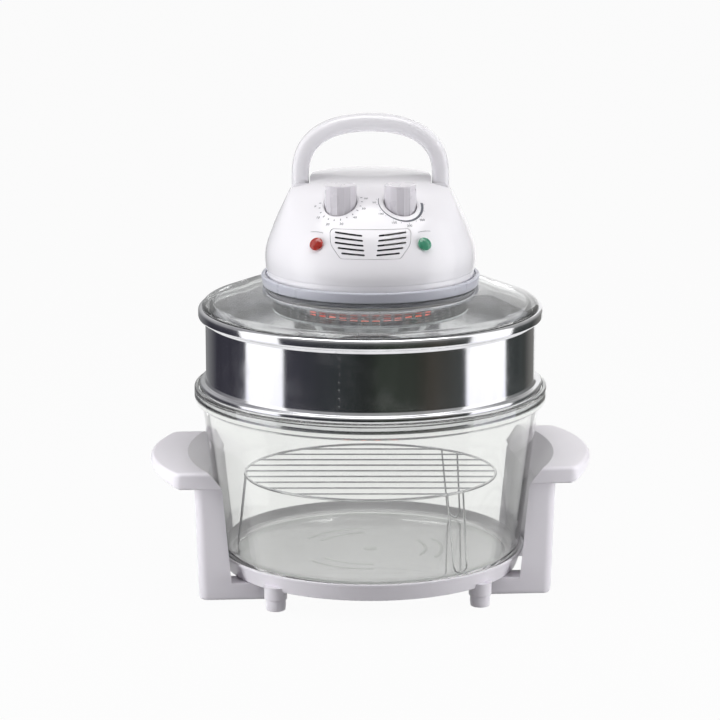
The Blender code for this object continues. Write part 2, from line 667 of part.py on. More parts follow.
def rod(name, radius, start, end, finish_name=None, segments=SMALL_SEGMENTS, end_radius=None):
    """A cylinder or cone from one point to another."""
    start, end = Vector(start), Vector(end)
    built = bmesh.new()
    bmesh.ops.create_cone(built, cap_ends=True, segments=segments, radius1=radius,
                          radius2=radius if end_radius is None else end_radius,
                          depth=(end - start).length)
    turn = Vector((0, 0, 1)).rotation_difference(end - start).to_matrix().to_4x4()
    bmesh.ops.transform(built, verts=built.verts, matrix=Matrix.Translation((start + end) / 2) @ turn)
    return place(name, mesh_of(built, name), finish_name)


def block(name, low, high, finish_name=None, edge=0.0, turn=None):
    """A box between two corners, with its edges chamfered by edge, then turned by a matrix."""
    built = bmesh.new()
    bmesh.ops.create_cube(built, size=1.0)
    sides = [top - bottom for bottom, top in zip(low, high)]
    bmesh.ops.scale(built, verts=built.verts, vec=sides)
    if edge > 0.0:
        bmesh.ops.bevel(built, geom=built.edges[:], offset=edge, segments=1, affect="EDGES",
                        profile=0.5, material=-1)
    bmesh.ops.translate(built, verts=built.verts, vec=[(a + b) / 2 for a, b in zip(low, high)])
    if turn is not None:
        bmesh.ops.transform(built, verts=built.verts, matrix=turn)
    return place(name, mesh_of(built, name), finish_name)


def slab(name, outline, low, high, finish_name=None, plane="XY"):
    """A flat outline given thickness: up along Z from the XY plane, or along Y from the XZ plane."""
    built = bmesh.new()
    if plane == "XY":
        ring = [built.verts.new((point[0], point[1], low)) for point in outline]
        push = Vector((0, 0, high - low))
    else:
        ring = [built.verts.new((point[0], low, point[1])) for point in outline]
        push = Vector((0, high - low, 0))
    face = built.faces.new(ring)
    pushed = bmesh.ops.extrude_face_region(built, geom=[face])
    moved = [item for item in pushed["geom"] if isinstance(item, bmesh.types.BMVert)]
    bmesh.ops.translate(built, verts=moved, vec=push)
    return place(name, mesh_of(built, name), finish_name)


def around(angle):
    """The unit direction in plan at this angle, in degrees from +X towards +Y."""
    return Vector((math.cos(math.radians(angle)), math.sin(math.radians(angle)), 0))


def wire(name, points, radius, closed=False, finish_name=None, sides=1):
    """A round wire along the points, as a mesh."""
    data = bpy.data.curves.new(name, "CURVE")
    data.dimensions = "3D"
    data.bevel_depth = radius
    data.bevel_resolution = sides
    data.use_fill_caps = True
    run = data.splines.new("POLY")
    run.points.add(len(points) - 1)
    for point, place_at in zip(run.points, points):
        point.co = (*place_at, 1)
    run.use_cyclic_u = closed
    bent = bpy.data.objects.new(name, data)
    parts.objects.link(bent)
    mesh = evaluated_mesh(bent)
    bpy.data.objects.remove(bent, do_unlink=True)
    built = bmesh.new()
    built.from_mesh(mesh)
    bmesh.ops.remove_doubles(built, verts=built.verts, dist=MERGE_DISTANCE)
    return place(name, mesh_of(built, name), finish_name)


def bolt(name, head, ring_at, head_height, tip, radius, head_radius, finish_name="steel"):
    """A screw driven upwards: a head from head upwards, then a shank to tip."""
    corners = ((0, tip, 0), (radius, tip, 0), (radius, head + head_height, 0),
               (head_radius, head + head_height, 0), (head_radius, head, 0), (0, head, 0))
    return turned(name, corners, finish_name, segments=TINY_SEGMENTS, centre=ring_at)


# Stand

def base_tray():
    """The round tray: a sloping wall with a lip at its rim, a floor, and bosses."""
    slope = (TRAY_RIM_RADIUS - TRAY_FOOT_RADIUS) / TRAY_HEIGHT
    lip_bottom = TRAY_TOP - TRAY_RIM_LIP
    wall_at_lip = TRAY_RIM_RADIUS - TRAY_RIM_PROUD - slope * TRAY_RIM_LIP
    inner_foot = TRAY_FOOT_RADIUS + slope * (TRAY_FLOOR_TOP - TRAY_UNDERSIDE) - TRAY_WALL
    corners = (
        (0, TRAY_FLOOR_TOP, 0),
        (inner_foot, TRAY_FLOOR_TOP, 0),
        (TRAY_RIM_RADIUS - TRAY_WALL, TRAY_TOP, 0),
        (TRAY_RIM_RADIUS, TRAY_TOP, TRAY_RIM_PROUD),
        (TRAY_RIM_RADIUS - slope * TRAY_RIM_LIP, lip_bottom, 0),
        (wall_at_lip, lip_bottom, 0),
        (TRAY_FOOT_RADIUS, TRAY_UNDERSIDE, 0),
        (TRAY_FOOT_RADIUS - TRAY_WALL, TRAY_UNDERSIDE, 0),
        (TRAY_FOOT_RADIUS - TRAY_WALL, TRAY_FLOOR_BOTTOM, 0),
        (0, TRAY_FLOOR_BOTTOM, 0),
    )
    tray = turned("base_tray", corners, "white")
    floor_middle = TRAY_FLOOR_BOTTOM + TRAY_FLOOR / 2
    for side in (-1, 1):
        for end in (-1, 1):
            join(tray, disc("foot_boss", FOOT_BOSS_RADIUS, FOOT_HEIGHT + SEAT_GAP, floor_middle,
                            centre=(side * FOOT_X, end * FOOT_Y)))
            join(tray, disc("screw_boss", SCREW_BOSS_RADIUS, TRAY_UNDERSIDE, floor_middle,
                            segments=TINY_SEGMENTS, centre=(side * SCREW_X, end * SCREW_Y)))
            cut(tray, disc("stem_bore", FOOT_STEM_RADIUS + SEAT_GAP, 0,
                           FOOT_HEIGHT + FOOT_STEM_LENGTH + SEAT_GAP, centre=(side * FOOT_X, end * FOOT_Y)))
            cut(tray, disc("screw_bore", SCREW_RADIUS + SEAT_GAP, 0,
                           TRAY_UNDERSIDE + SCREW_BITE + SEAT_GAP,
                           segments=TINY_SEGMENTS, centre=(side * SCREW_X, end * SCREW_Y)))
    return shade(tray)


def foot(name, side, end):
    """A peg with a stem that plugs into a boss under the tray."""
    corners = (
        (0, FOOT_HEIGHT + FOOT_STEM_LENGTH, 0),
        (FOOT_STEM_RADIUS, FOOT_HEIGHT + FOOT_STEM_LENGTH, 0),
        (FOOT_STEM_RADIUS, FOOT_HEIGHT, 0),
        (FOOT_RADIUS, FOOT_HEIGHT, 0),
        (FOOT_RADIUS, 0, FOOT_CHAMFER),
        (0, 0, 0),
    )
    return turned(name, corners, "white", segments=SMALL_SEGMENTS, steps=1,
                  centre=(side * FOOT_X, end * FOOT_Y))


def arc_through(end_x, middle_x, half_length):
    """Centre X and radius of the arc in plan through (end_x, +-half_length) and (middle_x, 0)."""
    rise = middle_x - end_x
    radius = (half_length ** 2 + rise ** 2) / (2 * rise)
    return middle_x - radius, radius


def grip_outline():
    """The ledge in plan: an arc outside, rounded ends, and straight inside."""
    centre, radius = arc_through(GRIP_END_X, GRIP_REACH_X, GRIP_HALF_LENGTH)
    reach = math.asin(GRIP_HALF_LENGTH / radius)
    inner = ARM_INNER_X
    corners = [(inner, -GRIP_HALF_LENGTH, 0)]
    for step in range(9):
        angle = reach * (step / 4 - 1)
        fillet = GRIP_CORNER if step in (0, 8) else 0
        corners.append((centre + radius * math.cos(angle), radius * math.sin(angle), fillet))
    corners.append((inner, GRIP_HALF_LENGTH, 0))
    return rounded_outline(corners, steps=5)


def grip_ledge():
    """The ledge: thick at its root and thin at its nose, with its rim rounded."""
    outline = grip_outline()
    built = bmesh.new()
    ring = [built.verts.new((point.x, point.y, GRIP_TOP)) for point in outline]
    top = built.faces.new(ring)
    pushed = bmesh.ops.extrude_face_region(built, geom=[top])
    slope = (GRIP_ROOT_THICKNESS - GRIP_NOSE_THICKNESS) / (GRIP_REACH_X - FRAME_OUTER_X)
    for item in pushed["geom"]:
        if isinstance(item, bmesh.types.BMVert):
            beyond = max(item.co.x - FRAME_OUTER_X, 0)
            item.co.z -= GRIP_ROOT_THICKNESS - slope * beyond
    bmesh.ops.recalc_face_normals(built, faces=built.faces)
    rims = [side for side in built.edges
            if max(end.co.x for end in side.verts) > ARM_INNER_X + OVERRUN
            and abs(side.verts[0].co.z - side.verts[1].co.z) < GRIP_EDGE]
    bmesh.ops.bevel(built, geom=rims, offset=GRIP_EDGE, segments=2, affect="EDGES", profile=0.5,
                    material=-1, clamp_overlap=True)
    return place("grip_ledge", mesh_of(built, "grip_ledge"))


def drafted(x, z):
    """Where a face that stands at x under the ledge's top has come in to at a height."""
    return x - FRAME_DRAFT * (GRIP_TOP - z) / (GRIP_TOP - FRAME_BOTTOM)


def frame_body():
    """The wall and posts in the solid: the front outline pushed through, trimmed and drafted."""
    front = rounded_outline([
        (ARM_INNER_X, FRAME_BOTTOM, 0), (FRAME_OUTER_X, FRAME_BOTTOM, FRAME_CORNER),
        (FRAME_OUTER_X, GRIP_TOP - GRIP_EDGE, 0), (ARM_INNER_X, GRIP_TOP - GRIP_EDGE, 0)])
    plan = rounded_outline([
        (ARM_INNER_X, -FRAME_FRONT_Y, 0), (FRAME_OUTER_X, -FRAME_FRONT_Y, FRAME_CORNER),
        (FRAME_OUTER_X, FRAME_FRONT_Y, FRAME_CORNER), (ARM_INNER_X, FRAME_FRONT_Y, 0)])
    body = slab("frame_body", front, -FRAME_FRONT_Y - OVERRUN, FRAME_FRONT_Y + OVERRUN, plane="XZ")
    trim = slab("frame_plan", plan, 0, GRIP_TOP)
    body = boolean(body, trim, "INTERSECT")
    for corner in body.data.vertices:
        if corner.co.x > FRAME_OUTER_X - FRAME_CORNER - OVERRUN:
            corner.co.x = drafted(corner.co.x, corner.co.z)
    return body


def bowl_side_cutter():
    """What is taken out above the arms so that the frame's inner edge leans with the bowl's wall."""
    centre, top_radius = arc_through(GRIP_INNER_END_X, GRIP_INNER_X, FRAME_FRONT_Y)
    foot_radius = math.hypot(POST_INNER_FOOT_X - centre, FRAME_FRONT_Y)
    slope = (top_radius - foot_radius) / (GRIP_TOP - ARM_TOP)
    above = GRIP_TOP + OVERRUN
    return rod("bowl_side", foot_radius, (centre, 0, ARM_TOP), (centre, 0, above),
               segments=2 * ROUND_SEGMENTS, end_radius=foot_radius + slope * (above - ARM_TOP))


def scoop_cone(name, drop=0.0):
    """The cone that hollows the ledge's top towards the bowl, or its parallel this far below."""
    centre, radius = arc_through(GRIP_SCOOP_END_X, GRIP_SCOOP_X, GRIP_HALF_LENGTH)
    slope = GRIP_SCOOP / GRIP_SCOOP_DEPTH
    foot = GRIP_TOP - GRIP_SCOOP_DEPTH - drop
    above = GRIP_TOP + OVERRUN
    return rod(name, radius - GRIP_SCOOP, (centre, 0, foot), (centre, 0, above),
               segments=2 * ROUND_SEGMENTS, end_radius=radius + slope * (OVERRUN + drop))


def frame_hollow():
    """The room inside a frame: straight at its ends, drafted outside, and under the scoop's wall."""
    inside_x = FRAME_OUTER_X - FRAME_WALL
    inside_y = FRAME_FRONT_Y - FRAME_WALL
    low, high = ARM_TOP + FRAME_WALL, GRIP_TOP - FRAME_WALL
    room = slab("inside", ((0, low), (drafted(inside_x, low), low), (drafted(inside_x, high), high), (0, high)),
                -inside_y, inside_y, plane="XZ")
    return boolean(room, scoop_cone("scoop_wall", GRIP_SCOOP_DROP), "DIFFERENCE")


def handle_frame(name, side):
    """A side handle: a ledge to hold, a wall with two posts, and two arms that carry the tray."""
    frame = frame_body()
    join(frame, grip_ledge())
    arm_back = FRAME_FRONT_Y - ARM_DEPTH
    pocket_x = drafted(FRAME_OUTER_X, FRAME_BOTTOM) - FRAME_WALL - FRAME_CORNER / 2
    inside_y = FRAME_FRONT_Y - FRAME_WALL
    cut(frame, bowl_side_cutter())
    cut(frame, block("between_arms", (0, -arm_back, 0), (GRIP_REACH_X, arm_back, FRAME_WALL_BOTTOM)))
    cut(frame, frame_hollow())
    cut(frame, scoop_cone("scoop"))
    for end in (-1, 1):
        near, far = sorted((end * (arm_back + FRAME_WALL), end * inside_y))
        cut(frame, block("arm_pocket", (ARM_INNER_X + FRAME_WALL, near, 0),
                         (pocket_x, far, ARM_TOP - ARM_ROOF)))
        cut(frame, disc("screw_hole", SCREW_RADIUS + SEAT_GAP, 0, TRAY_TOP,
                        segments=TINY_SEGMENTS, centre=(SCREW_X, end * SCREW_Y)))
    made = bpy.data.objects.new(name, frame.data.copy())
    bpy.data.objects.remove(frame, do_unlink=True)
    parts.objects.link(made)
    made.data.transform(Matrix.Diagonal((side, 1, 1, 1)))
    if side < 0:
        made.data.flip_normals()
    made.data.materials.clear()
    made.data.materials.append(FINISHES["white"])
    return shade(made)


def stand():
    base_tray()
    for word, side in (("left", -1), ("right", 1)):
        handle_frame(f"{word}_handle_frame", side)
        for where, end in (("front", -1), ("rear", 1)):
            foot(f"{where}_{word}_foot", side, end)
            head_top = ARM_TOP - ARM_ROOF - SEAT_GAP
            bolt(f"{where}_{word}_frame_screw", head_top - SCREW_HEAD_HEIGHT,
                 (side * SCREW_X, end * SCREW_Y), SCREW_HEAD_HEIGHT, TRAY_UNDERSIDE + SCREW_BITE,
                 SCREW_RADIUS, SCREW_HEAD_RADIUS)


# Bowl, rack and extender ring

def glass_bowl():
    """The bowl: a tapered wall, a flat foot, and a thick rim with a ledge for the ring."""
    rim_bottom = BOWL_RIM_TOP - BOWL_RIM_DEPTH
    wall_under_rim = BOWL_FOOT_RADIUS + BOWL_TAPER * (rim_bottom - BOWL_BOTTOM)
    inner_foot = BOWL_FOOT_RADIUS + BOWL_TAPER * BOWL_FLOOR - BOWL_WALL
    inner_top = BOWL_FOOT_RADIUS + BOWL_TAPER * (BOWL_LEDGE - BOWL_BOTTOM) - BOWL_WALL
    corners = (
        (0, BOWL_FLOOR_TOP, 0),
        (inner_foot, BOWL_FLOOR_TOP, BOWL_CORNER - BOWL_FLOOR / 2),
        (inner_top, BOWL_LEDGE, 0),
        (BOWL_RIM_RADIUS - BOWL_RIM_LIP - SEAT_GAP, BOWL_LEDGE, 0),
        (BOWL_RIM_RADIUS - BOWL_RIM_LIP, BOWL_RIM_TOP, 0),
        (BOWL_RIM_RADIUS, BOWL_RIM_TOP, BOWL_RIM_LIP / 2),
        (BOWL_RIM_RADIUS, rim_bottom + BOWL_RIM_UNDERCUT, BOWL_RIM_LIP / 2),
        (wall_under_rim, rim_bottom, 0),
        (BOWL_FOOT_RADIUS, BOWL_BOTTOM, BOWL_CORNER),
        (0, BOWL_BOTTOM, 0),
    )
    return turned("glass_bowl", corners, "glass")


def rack_leg_points(angle):
    """A leg's U: down from the ring, across at the floor, and up again, leaning outwards."""
    out = around(angle)
    along = around(angle + 90.0)
    top = RACK_CENTRE_Z
    bottom = BOWL_FLOOR_TOP + RACK_LEG_WIRE + SEAT_GAP
    half = RACK_LEG_WIDTH / 2
    top_out = math.sqrt(RACK_RING_RADIUS ** 2 - half ** 2)
    points = [out * top_out + along * half + Vector((0, 0, top))]
    bend = half * 0.8
    for step in range(9):
        swing = math.pi * step / 8
        up = bottom + bend * (1 - math.sin(swing))
        share = (top - up) / (top - bottom)
        reach = top_out + (RACK_LEG_FOOT_RADIUS - top_out) * share
        points.append(out * reach + along * bend * math.cos(swing) + Vector((0, 0, up)))
    points.append(out * top_out - along * half + Vector((0, 0, top)))
    return points


def wire_rack():
    """A round rack: a ring, straight cross wires, and three legs, welded where they meet."""
    ring = [around(360.0 * step / ROUND_SEGMENTS) * RACK_RING_RADIUS + Vector((0, 0, RACK_CENTRE_Z))
            for step in range(ROUND_SEGMENTS)]
    rack = wire("wire_rack", ring, RACK_RING_WIRE, closed=True, finish_name="steel")
    for index in range(RACK_CROSS_COUNT):
        across = (index - (RACK_CROSS_COUNT - 1) / 2) * RACK_CROSS_SPACING
        half = math.sqrt(RACK_RING_RADIUS ** 2 - across ** 2)
        join(rack, wire("cross_wire", [(-half, across, RACK_CENTRE_Z), (half, across, RACK_CENTRE_Z)],
                        RACK_CROSS_WIRE))
    for angle in RACK_LEG_ANGLES:
        join(rack, wire("rack_leg", rack_leg_points(angle), RACK_LEG_WIRE))
    return shade(rack)


def extender_ring():
    """The steel ring: a plain wall, a rolled bead on top, and a bead and skirt at its foot."""
    inner = RING_WALL_RADIUS - RING_SHEET
    foot_top = RING_FOOT + RING_FOOT_BEAD_HEIGHT
    skirt_inner = RING_SKIRT_RADIUS - RING_SHEET
    corners = (
        (inner, RING_BEAD_TOP, RING_BEAD_FILLET / 2),
        (RING_BEAD_RADIUS, RING_BEAD_TOP, RING_BEAD_FILLET),
        (RING_BEAD_RADIUS, RING_BEAD_TOP - RING_BEAD_HEIGHT, RING_BEAD_FILLET),
        (RING_WALL_RADIUS, RING_BEAD_TOP - RING_BEAD_HEIGHT, 0),
        (RING_WALL_RADIUS, foot_top, 0),
        (RING_FOOT_BEAD_RADIUS, foot_top, RING_FOOT_FILLET),
        (RING_FOOT_BEAD_RADIUS, RING_FOOT, RING_FOOT_FILLET),
        (RING_SKIRT_RADIUS, RING_FOOT, 0),
        (RING_SKIRT_RADIUS, RING_FOOT - RING_SKIRT_DEPTH, 0),
        (skirt_inner, RING_FOOT - RING_SKIRT_DEPTH, 0),
        (skirt_inner, RING_FOOT + RING_SHEET, 0),
        (inner, RING_FOOT + 2 * RING_SHEET, 0),
    )
    return turned("extender_ring", corners, "steel")


# Lid

def glass_lid():
    """The domed glass lid: a flat middle with a hole for the head, and a rim with a spigot."""
    spigot_inner = LID_SPIGOT_RADIUS - LID_SPIGOT_WIDTH
    shoulder = LID_RIM + LID_SHOULDER_HEIGHT
    inner_top = LID_TOP - LID_GLASS
    corners = (
        (LID_HOLE_RADIUS, LID_TOP, 0),
        (LID_FLAT_RADIUS, LID_TOP, LID_FLAT_FILLET),
        (LID_SHOULDER_RADIUS, shoulder, LID_SHOULDER_FILLET),
        (LID_RIM_RADIUS, LID_RIM, 0),
        (LID_SPIGOT_RADIUS + LID_SEAT_FILLET, LID_RIM, 0),
        (LID_SPIGOT_RADIUS, LID_RIM - LID_GLASS / 4, 0),
        (LID_SPIGOT_RADIUS, LID_RIM - LID_SPIGOT_DEPTH, 0),
        (spigot_inner, LID_RIM - LID_SPIGOT_DEPTH, 0),
        (spigot_inner - LID_GLASS / 2, LID_RIM + LID_GLASS / 3, 0),
        (LID_FLAT_RADIUS - LID_GLASS / 4, inner_top, LID_FLAT_FILLET),
        (LID_HOLE_RADIUS, inner_top, 0),
    )
    return turned("glass_lid", corners, "glass")


def collar():
    """The white collar: an outer band, a deck that carries the head, and a neck through the glass."""
    band_top = COLLAR_BOTTOM + COLLAR_HEIGHT
    band_inner = COLLAR_RADIUS - COLLAR_WALL
    groove_outer = COLLAR_RADIUS - COLLAR_TOP_WALL
    deck_bottom = COLLAR_DECK_Z - COLLAR_DECK
    neck_inner = COLLAR_NECK_RADIUS - COLLAR_NECK_WALL
    corners = (
        (groove_outer, band_top, 0),
        (COLLAR_RADIUS, band_top, COLLAR_FILLET),
        (COLLAR_RADIUS, COLLAR_BOTTOM, 0),
        (band_inner, COLLAR_BOTTOM, 0),
        (band_inner, deck_bottom, 0),
        (COLLAR_NECK_RADIUS, deck_bottom, 0),
        (COLLAR_NECK_RADIUS, COLLAR_NECK_BOTTOM, 0),
        (neck_inner, COLLAR_NECK_BOTTOM, 0),
        (neck_inner, COLLAR_DECK_Z, 0),
        (groove_outer - COLLAR_GROOVE, COLLAR_DECK_Z, 0),
        (groove_outer - COLLAR_GROOVE, COLLAR_DECK_Z - COLLAR_GROOVE_DEPTH, 0),
        (groove_outer, COLLAR_DECK_Z - COLLAR_GROOVE_DEPTH, 0),
    )
    made = turned("collar", corners, "white", steps=2)
    for angle in LID_SCREW_ANGLES:
        above = around(angle) * HOUSING_SCREW_RING
        cut(made, disc("screw_hole", SCREW_RADIUS + SEAT_GAP, deck_bottom - OVERRUN / 2,
                       COLLAR_DECK_Z + OVERRUN, segments=TINY_SEGMENTS, centre=above.xy))
        below = around(angle) * CLAMP_SCREW_RING
        cut(made, disc("clamp_bore", CLAMP_SCREW_RADIUS + SEAT_GAP, COLLAR_NECK_BOTTOM - OVERRUN,
                       CLAMP_BOTTOM + CLAMP_THICKNESS + CLAMP_SCREW_BITE + SEAT_GAP,
                       segments=TINY_SEGMENTS, centre=below.xy))
    return shade(made)


def clamp_ring():
    """The steel ring that pulls the glass up against the collar."""
    corners = ((CLAMP_INNER_RADIUS, CLAMP_TOP, 0), (CLAMP_OUTER_RADIUS, CLAMP_TOP, 0),
               (CLAMP_OUTER_RADIUS, CLAMP_BOTTOM, 0), (CLAMP_INNER_RADIUS, CLAMP_BOTTOM, 0))
    made = turned("clamp_ring", corners, "steel", segments=INNER_SEGMENTS)
    for angle in LID_SCREW_ANGLES:
        spot = around(angle) * CLAMP_SCREW_RING
        cut(made, disc("clamp_hole", CLAMP_SCREW_RADIUS + SEAT_GAP, CLAMP_BOTTOM - OVERRUN / 2,
                       CLAMP_TOP + OVERRUN / 2, segments=TINY_SEGMENTS, centre=spot.xy))
    return shade(made)


def lid_gasket():
    """The soft ring between the clamp ring and the glass."""
    top = LID_TOP - LID_GLASS - SEAT_GAP
    bottom = CLAMP_TOP + SEAT_GAP
    corners = ((GASKET_INNER_RADIUS, top, 0), (GASKET_OUTER_RADIUS, top, 0),
               (GASKET_OUTER_RADIUS, bottom, 0), (GASKET_INNER_RADIUS, bottom, 0))
    return turned("lid_gasket", corners, "silicone", segments=INNER_SEGMENTS)


def dome_solid(name, inset=0.0, segments=ROUND_SEGMENTS, finish_name=None):
    """The head as a dome of turned outline, or the same drawn in by the wall."""
    shares = INNER_DOME_SHARES if inset > 0.0 else DOME_SHARES
    corners = [(0, HOUSING_BOTTOM + DOME_HEIGHT - inset, 0)]
    for height_share, radius_share in reversed(shares):
        corners.append((DOME_RADIUS * radius_share - inset,
                        HOUSING_BOTTOM + DOME_HEIGHT * height_share - inset * height_share, 0))
    if inset > 0.0:
        bottom = HOUSING_BOTTOM - OVERRUN
        corners.append((corners[-1][0], bottom, 0))
    else:
        bottom = HOUSING_BOTTOM
        corners.append((corners[-1][0], HOUSING_BOTTOM + DOME_LIP_HEIGHT, 0))
        corners.append((DOME_LIP_RADIUS, HOUSING_BOTTOM + DOME_LIP_HEIGHT, 0))
        corners.append((DOME_LIP_RADIUS, bottom, 0))
    corners.append((0, bottom, 0))
    return turned(name, corners, finish_name, segments=segments)


def face_depth(height):
    """How far in front of the axis the housing's face is at this height, on the centre line."""
    heights = [HOUSING_BOTTOM + DOME_HEIGHT * share[0] for share in FACE_SHARES]
    depths = [DOME_RADIUS * share[1] for share in FACE_SHARES]
    return float(np.interp(height, heights, depths))


def face_solid(name, inset=0.0, segments=ROUND_SEGMENTS):
    """What lies behind the sloping face: circles that step back as they rise."""
    shares = INNER_FACE_SHARES if inset > 0.0 else FACE_SHARES
    built = bmesh.new()
    rings = []
    for height_share, depth_share in shares:
        up = HOUSING_BOTTOM + DOME_HEIGHT * height_share - inset
        back = FACE_CURVE_RADIUS - DOME_RADIUS * depth_share + inset
        ring = [built.verts.new(around(360.0 * step / segments) * FACE_CURVE_RADIUS
                                + Vector((0, back, up))) for step in range(segments)]
        rings.append(ring)
    for low, high in zip(rings, rings[1:]):
        for step in range(segments):
            following = (step + 1) % segments
            built.faces.new((low[step], low[following], high[following], high[step]))
    built.faces.new(list(reversed(rings[0])))
    built.faces.new(rings[-1])
    return place(name, mesh_of(built, name))


def slot_cutter(side, wall=0.0):
    """The slot that a foot of the carrying handle swings in, or the same grown by a wall."""
    near, far = sorted((side * (SLOT_INNER_X - wall), side * (SLOT_OUTER_X + wall)))
    return block("handle_slot", (near, SLOT_FRONT_Y - wall, SLOT_FLOOR_Z - wall),
                 (far, 2 * DOME_RADIUS, HANDLE_TOP))


def vent_half(height):
    """The vent grille's half width at this height above its lower edge."""
    shoulder = VENT_HEIGHT * VENT_SHOULDER_SHARE
    if height < shoulder:
        return VENT_BOTTOM_HALF + (VENT_SHOULDER_HALF - VENT_BOTTOM_HALF) * height / shoulder
    share = (height - shoulder) / (VENT_HEIGHT - shoulder)
    return VENT_SHOULDER_HALF + (VENT_TOP_HALF - VENT_SHOULDER_HALF) * share


def vent_plug(gap=0.0):
    """The upright-sided plug that the vent grille, and the hole for it, are cut with."""
    low = HOUSING_BOTTOM + VENT_BOTTOM
    shoulder = low + VENT_HEIGHT * VENT_SHOULDER_SHARE
    high = low + VENT_HEIGHT
    right = [(VENT_BOTTOM_HALF + gap, low - gap, VENT_CORNER),
             (VENT_SHOULDER_HALF + gap, shoulder, VENT_SHOULDER_FILLET),
             (VENT_TOP_HALF + gap, high + gap, VENT_CORNER)]
    left = [(-across, up, fillet) for across, up, fillet in reversed(right)]
    outline = rounded_outline(right + left)
    return slab("vent_plug", outline, -2 * DOME_RADIUS, -DOME_RADIUS / 2, plane="XZ")


def head_shell(name, finish_name):
    """The head's wall: dome and face, less what lies inside."""
    shell = dome_solid(name, finish_name=finish_name)
    boolean(shell, face_solid("face"), "INTERSECT")
    hollow = dome_solid("hollow", inset=HOUSING_WALL)
    boolean(hollow, face_solid("inner_face", inset=HOUSING_WALL), "INTERSECT")
    for side in (-1, 1):
        cut(hollow, slot_cutter(side, HOUSING_WALL))
    return cut(shell, hollow)


def lamp_place(side):
    """A pilot lamp's centre on the face, and the direction that it looks in."""
    height = HOUSING_BOTTOM + LAMP_RISE
    bulge = FACE_CURVE_RADIUS - math.sqrt(FACE_CURVE_RADIUS ** 2 - LAMP_X ** 2)
    spot = Vector((side * LAMP_X, -face_depth(height) + bulge, height))
    tilt = math.radians(LAMP_TILT)
    flat = around(-90.0 + side * LAMP_TURN)
    return spot, flat * math.cos(tilt) + Vector((0, 0, math.sin(tilt)))


def gland_place():
    """Where the cord gland sits at the back of the housing."""
    height = HOUSING_BOTTOM + GLAND_RISE
    share = GLAND_RISE / DOME_HEIGHT
    radius = DOME_RADIUS * float(np.interp(share, [item[0] for item in DOME_SHARES],
                                           [item[1] for item in DOME_SHARES]))
    return radius, height


def housing():
    """The white head: a shell with wells for the knobs, holes for the lamps and grille, and slots."""
    shell = head_shell("housing", "white")
    for angle in LID_SCREW_ANGLES:
        out = around(angle)
        spot = out * HOUSING_SCREW_RING
        boss = disc("screw_boss", HOUSING_BOSS_RADIUS, HOUSING_BOTTOM,
                    HOUSING_BOTTOM + HOUSING_BOSS_HEIGHT, segments=TINY_SEGMENTS, centre=spot.xy)
        join(shell, boss)
        cut(shell, disc("boss_bore", SCREW_RADIUS + SEAT_GAP, HOUSING_BOTTOM - OVERRUN,
                        HOUSING_BOTTOM + HOUSING_SCREW_BITE + SEAT_GAP, segments=TINY_SEGMENTS,
                        centre=spot.xy))
    for side in (-1, 1):
        cut(shell, slot_cutter(side))
        cut(shell, disc("knob_well", KNOB_WELL_RADIUS, BRACKET_TOP, HANDLE_TOP,
                        centre=(side * KNOB_X, -KNOB_Y)))
        spot, look = lamp_place(side)
        cut(shell, rod("lamp_hole", LAMP_STEM_RADIUS + SEAT_GAP, spot - look * LAMP_STEM_LENGTH * 2,
                       spot + look * LAMP_STEM_LENGTH))
        inside = side * (SLOT_INNER_X - HOUSING_WALL)
        cut(shell, rod("pin_hole", PIN_RADIUS + SEAT_GAP,
                       (inside - side * OVERRUN, HANDLE_PIVOT_Y, HANDLE_PIVOT_Z),
                       (side * (SLOT_INNER_X + OVERRUN / 2), HANDLE_PIVOT_Y, HANDLE_PIVOT_Z),
                       segments=TINY_SEGMENTS))
    cut(shell, vent_plug())
    for row in range(BACK_SLOT_COUNT):
        low = HOUSING_BOTTOM + BACK_SLOT_RISE + row * BACK_SLOT_PITCH
        cut(shell, block("back_slot", (-BACK_SLOT_HALF, DOME_RADIUS / 2, low),
                         (BACK_SLOT_HALF, 2 * DOME_RADIUS, low + BACK_SLOT_HEIGHT)))
    radius, height = gland_place()
    cut(shell, rod("gland_hole", GLAND_RADIUS + SEAT_GAP, (0, radius - OVERRUN * 2, height),
                   (0, radius + OVERRUN, height)))
    return shade(shell)


def vent_grille():
    """The grille: the piece of the face inside the outline, with two rows of slots."""
    grille = head_shell("vent_grille", "white")
    boolean(grille, vent_plug(-SEAT_GAP), "INTERSECT")
    for row in range(VENT_SLOT_ROWS):
        height = VENT_SLOT_RISE + row * VENT_SLOT_PITCH
        share = row / (VENT_SLOT_ROWS - 1)
        inner = VENT_SPINE_BOTTOM_HALF + (VENT_SPINE_TOP_HALF - VENT_SPINE_BOTTOM_HALF) * share
        outer = vent_half(height) - VENT_SLOT_MARGIN
        middle = (inner + outer) / 2
        up = HOUSING_BOTTOM + VENT_BOTTOM + height
        for side in (-1, 1):
            turn = (Matrix.Translation((side * middle, 0, up))
                    @ Matrix.Rotation(math.radians(-side * (VENT_SLOT_TILT + VENT_SLOT_FAN * share)), 4, "Y"))
            half = (outer - inner) / 2
            cut(grille, block("slot", (-half, -2 * DOME_RADIUS, -VENT_SLOT_HEIGHT / 2),
                              (half, -DOME_RADIUS / 2, VENT_SLOT_HEIGHT / 2), turn=turn))
    return shade(grille)


def aimed(made, spot, look):
    """Turns an upright piece at the origin to look in a direction, and moves it to the spot."""
    turn = Vector((0, 0, 1)).rotation_difference(look).to_matrix().to_4x4()
    made.data.transform(Matrix.Translation(spot) @ turn)
    return made


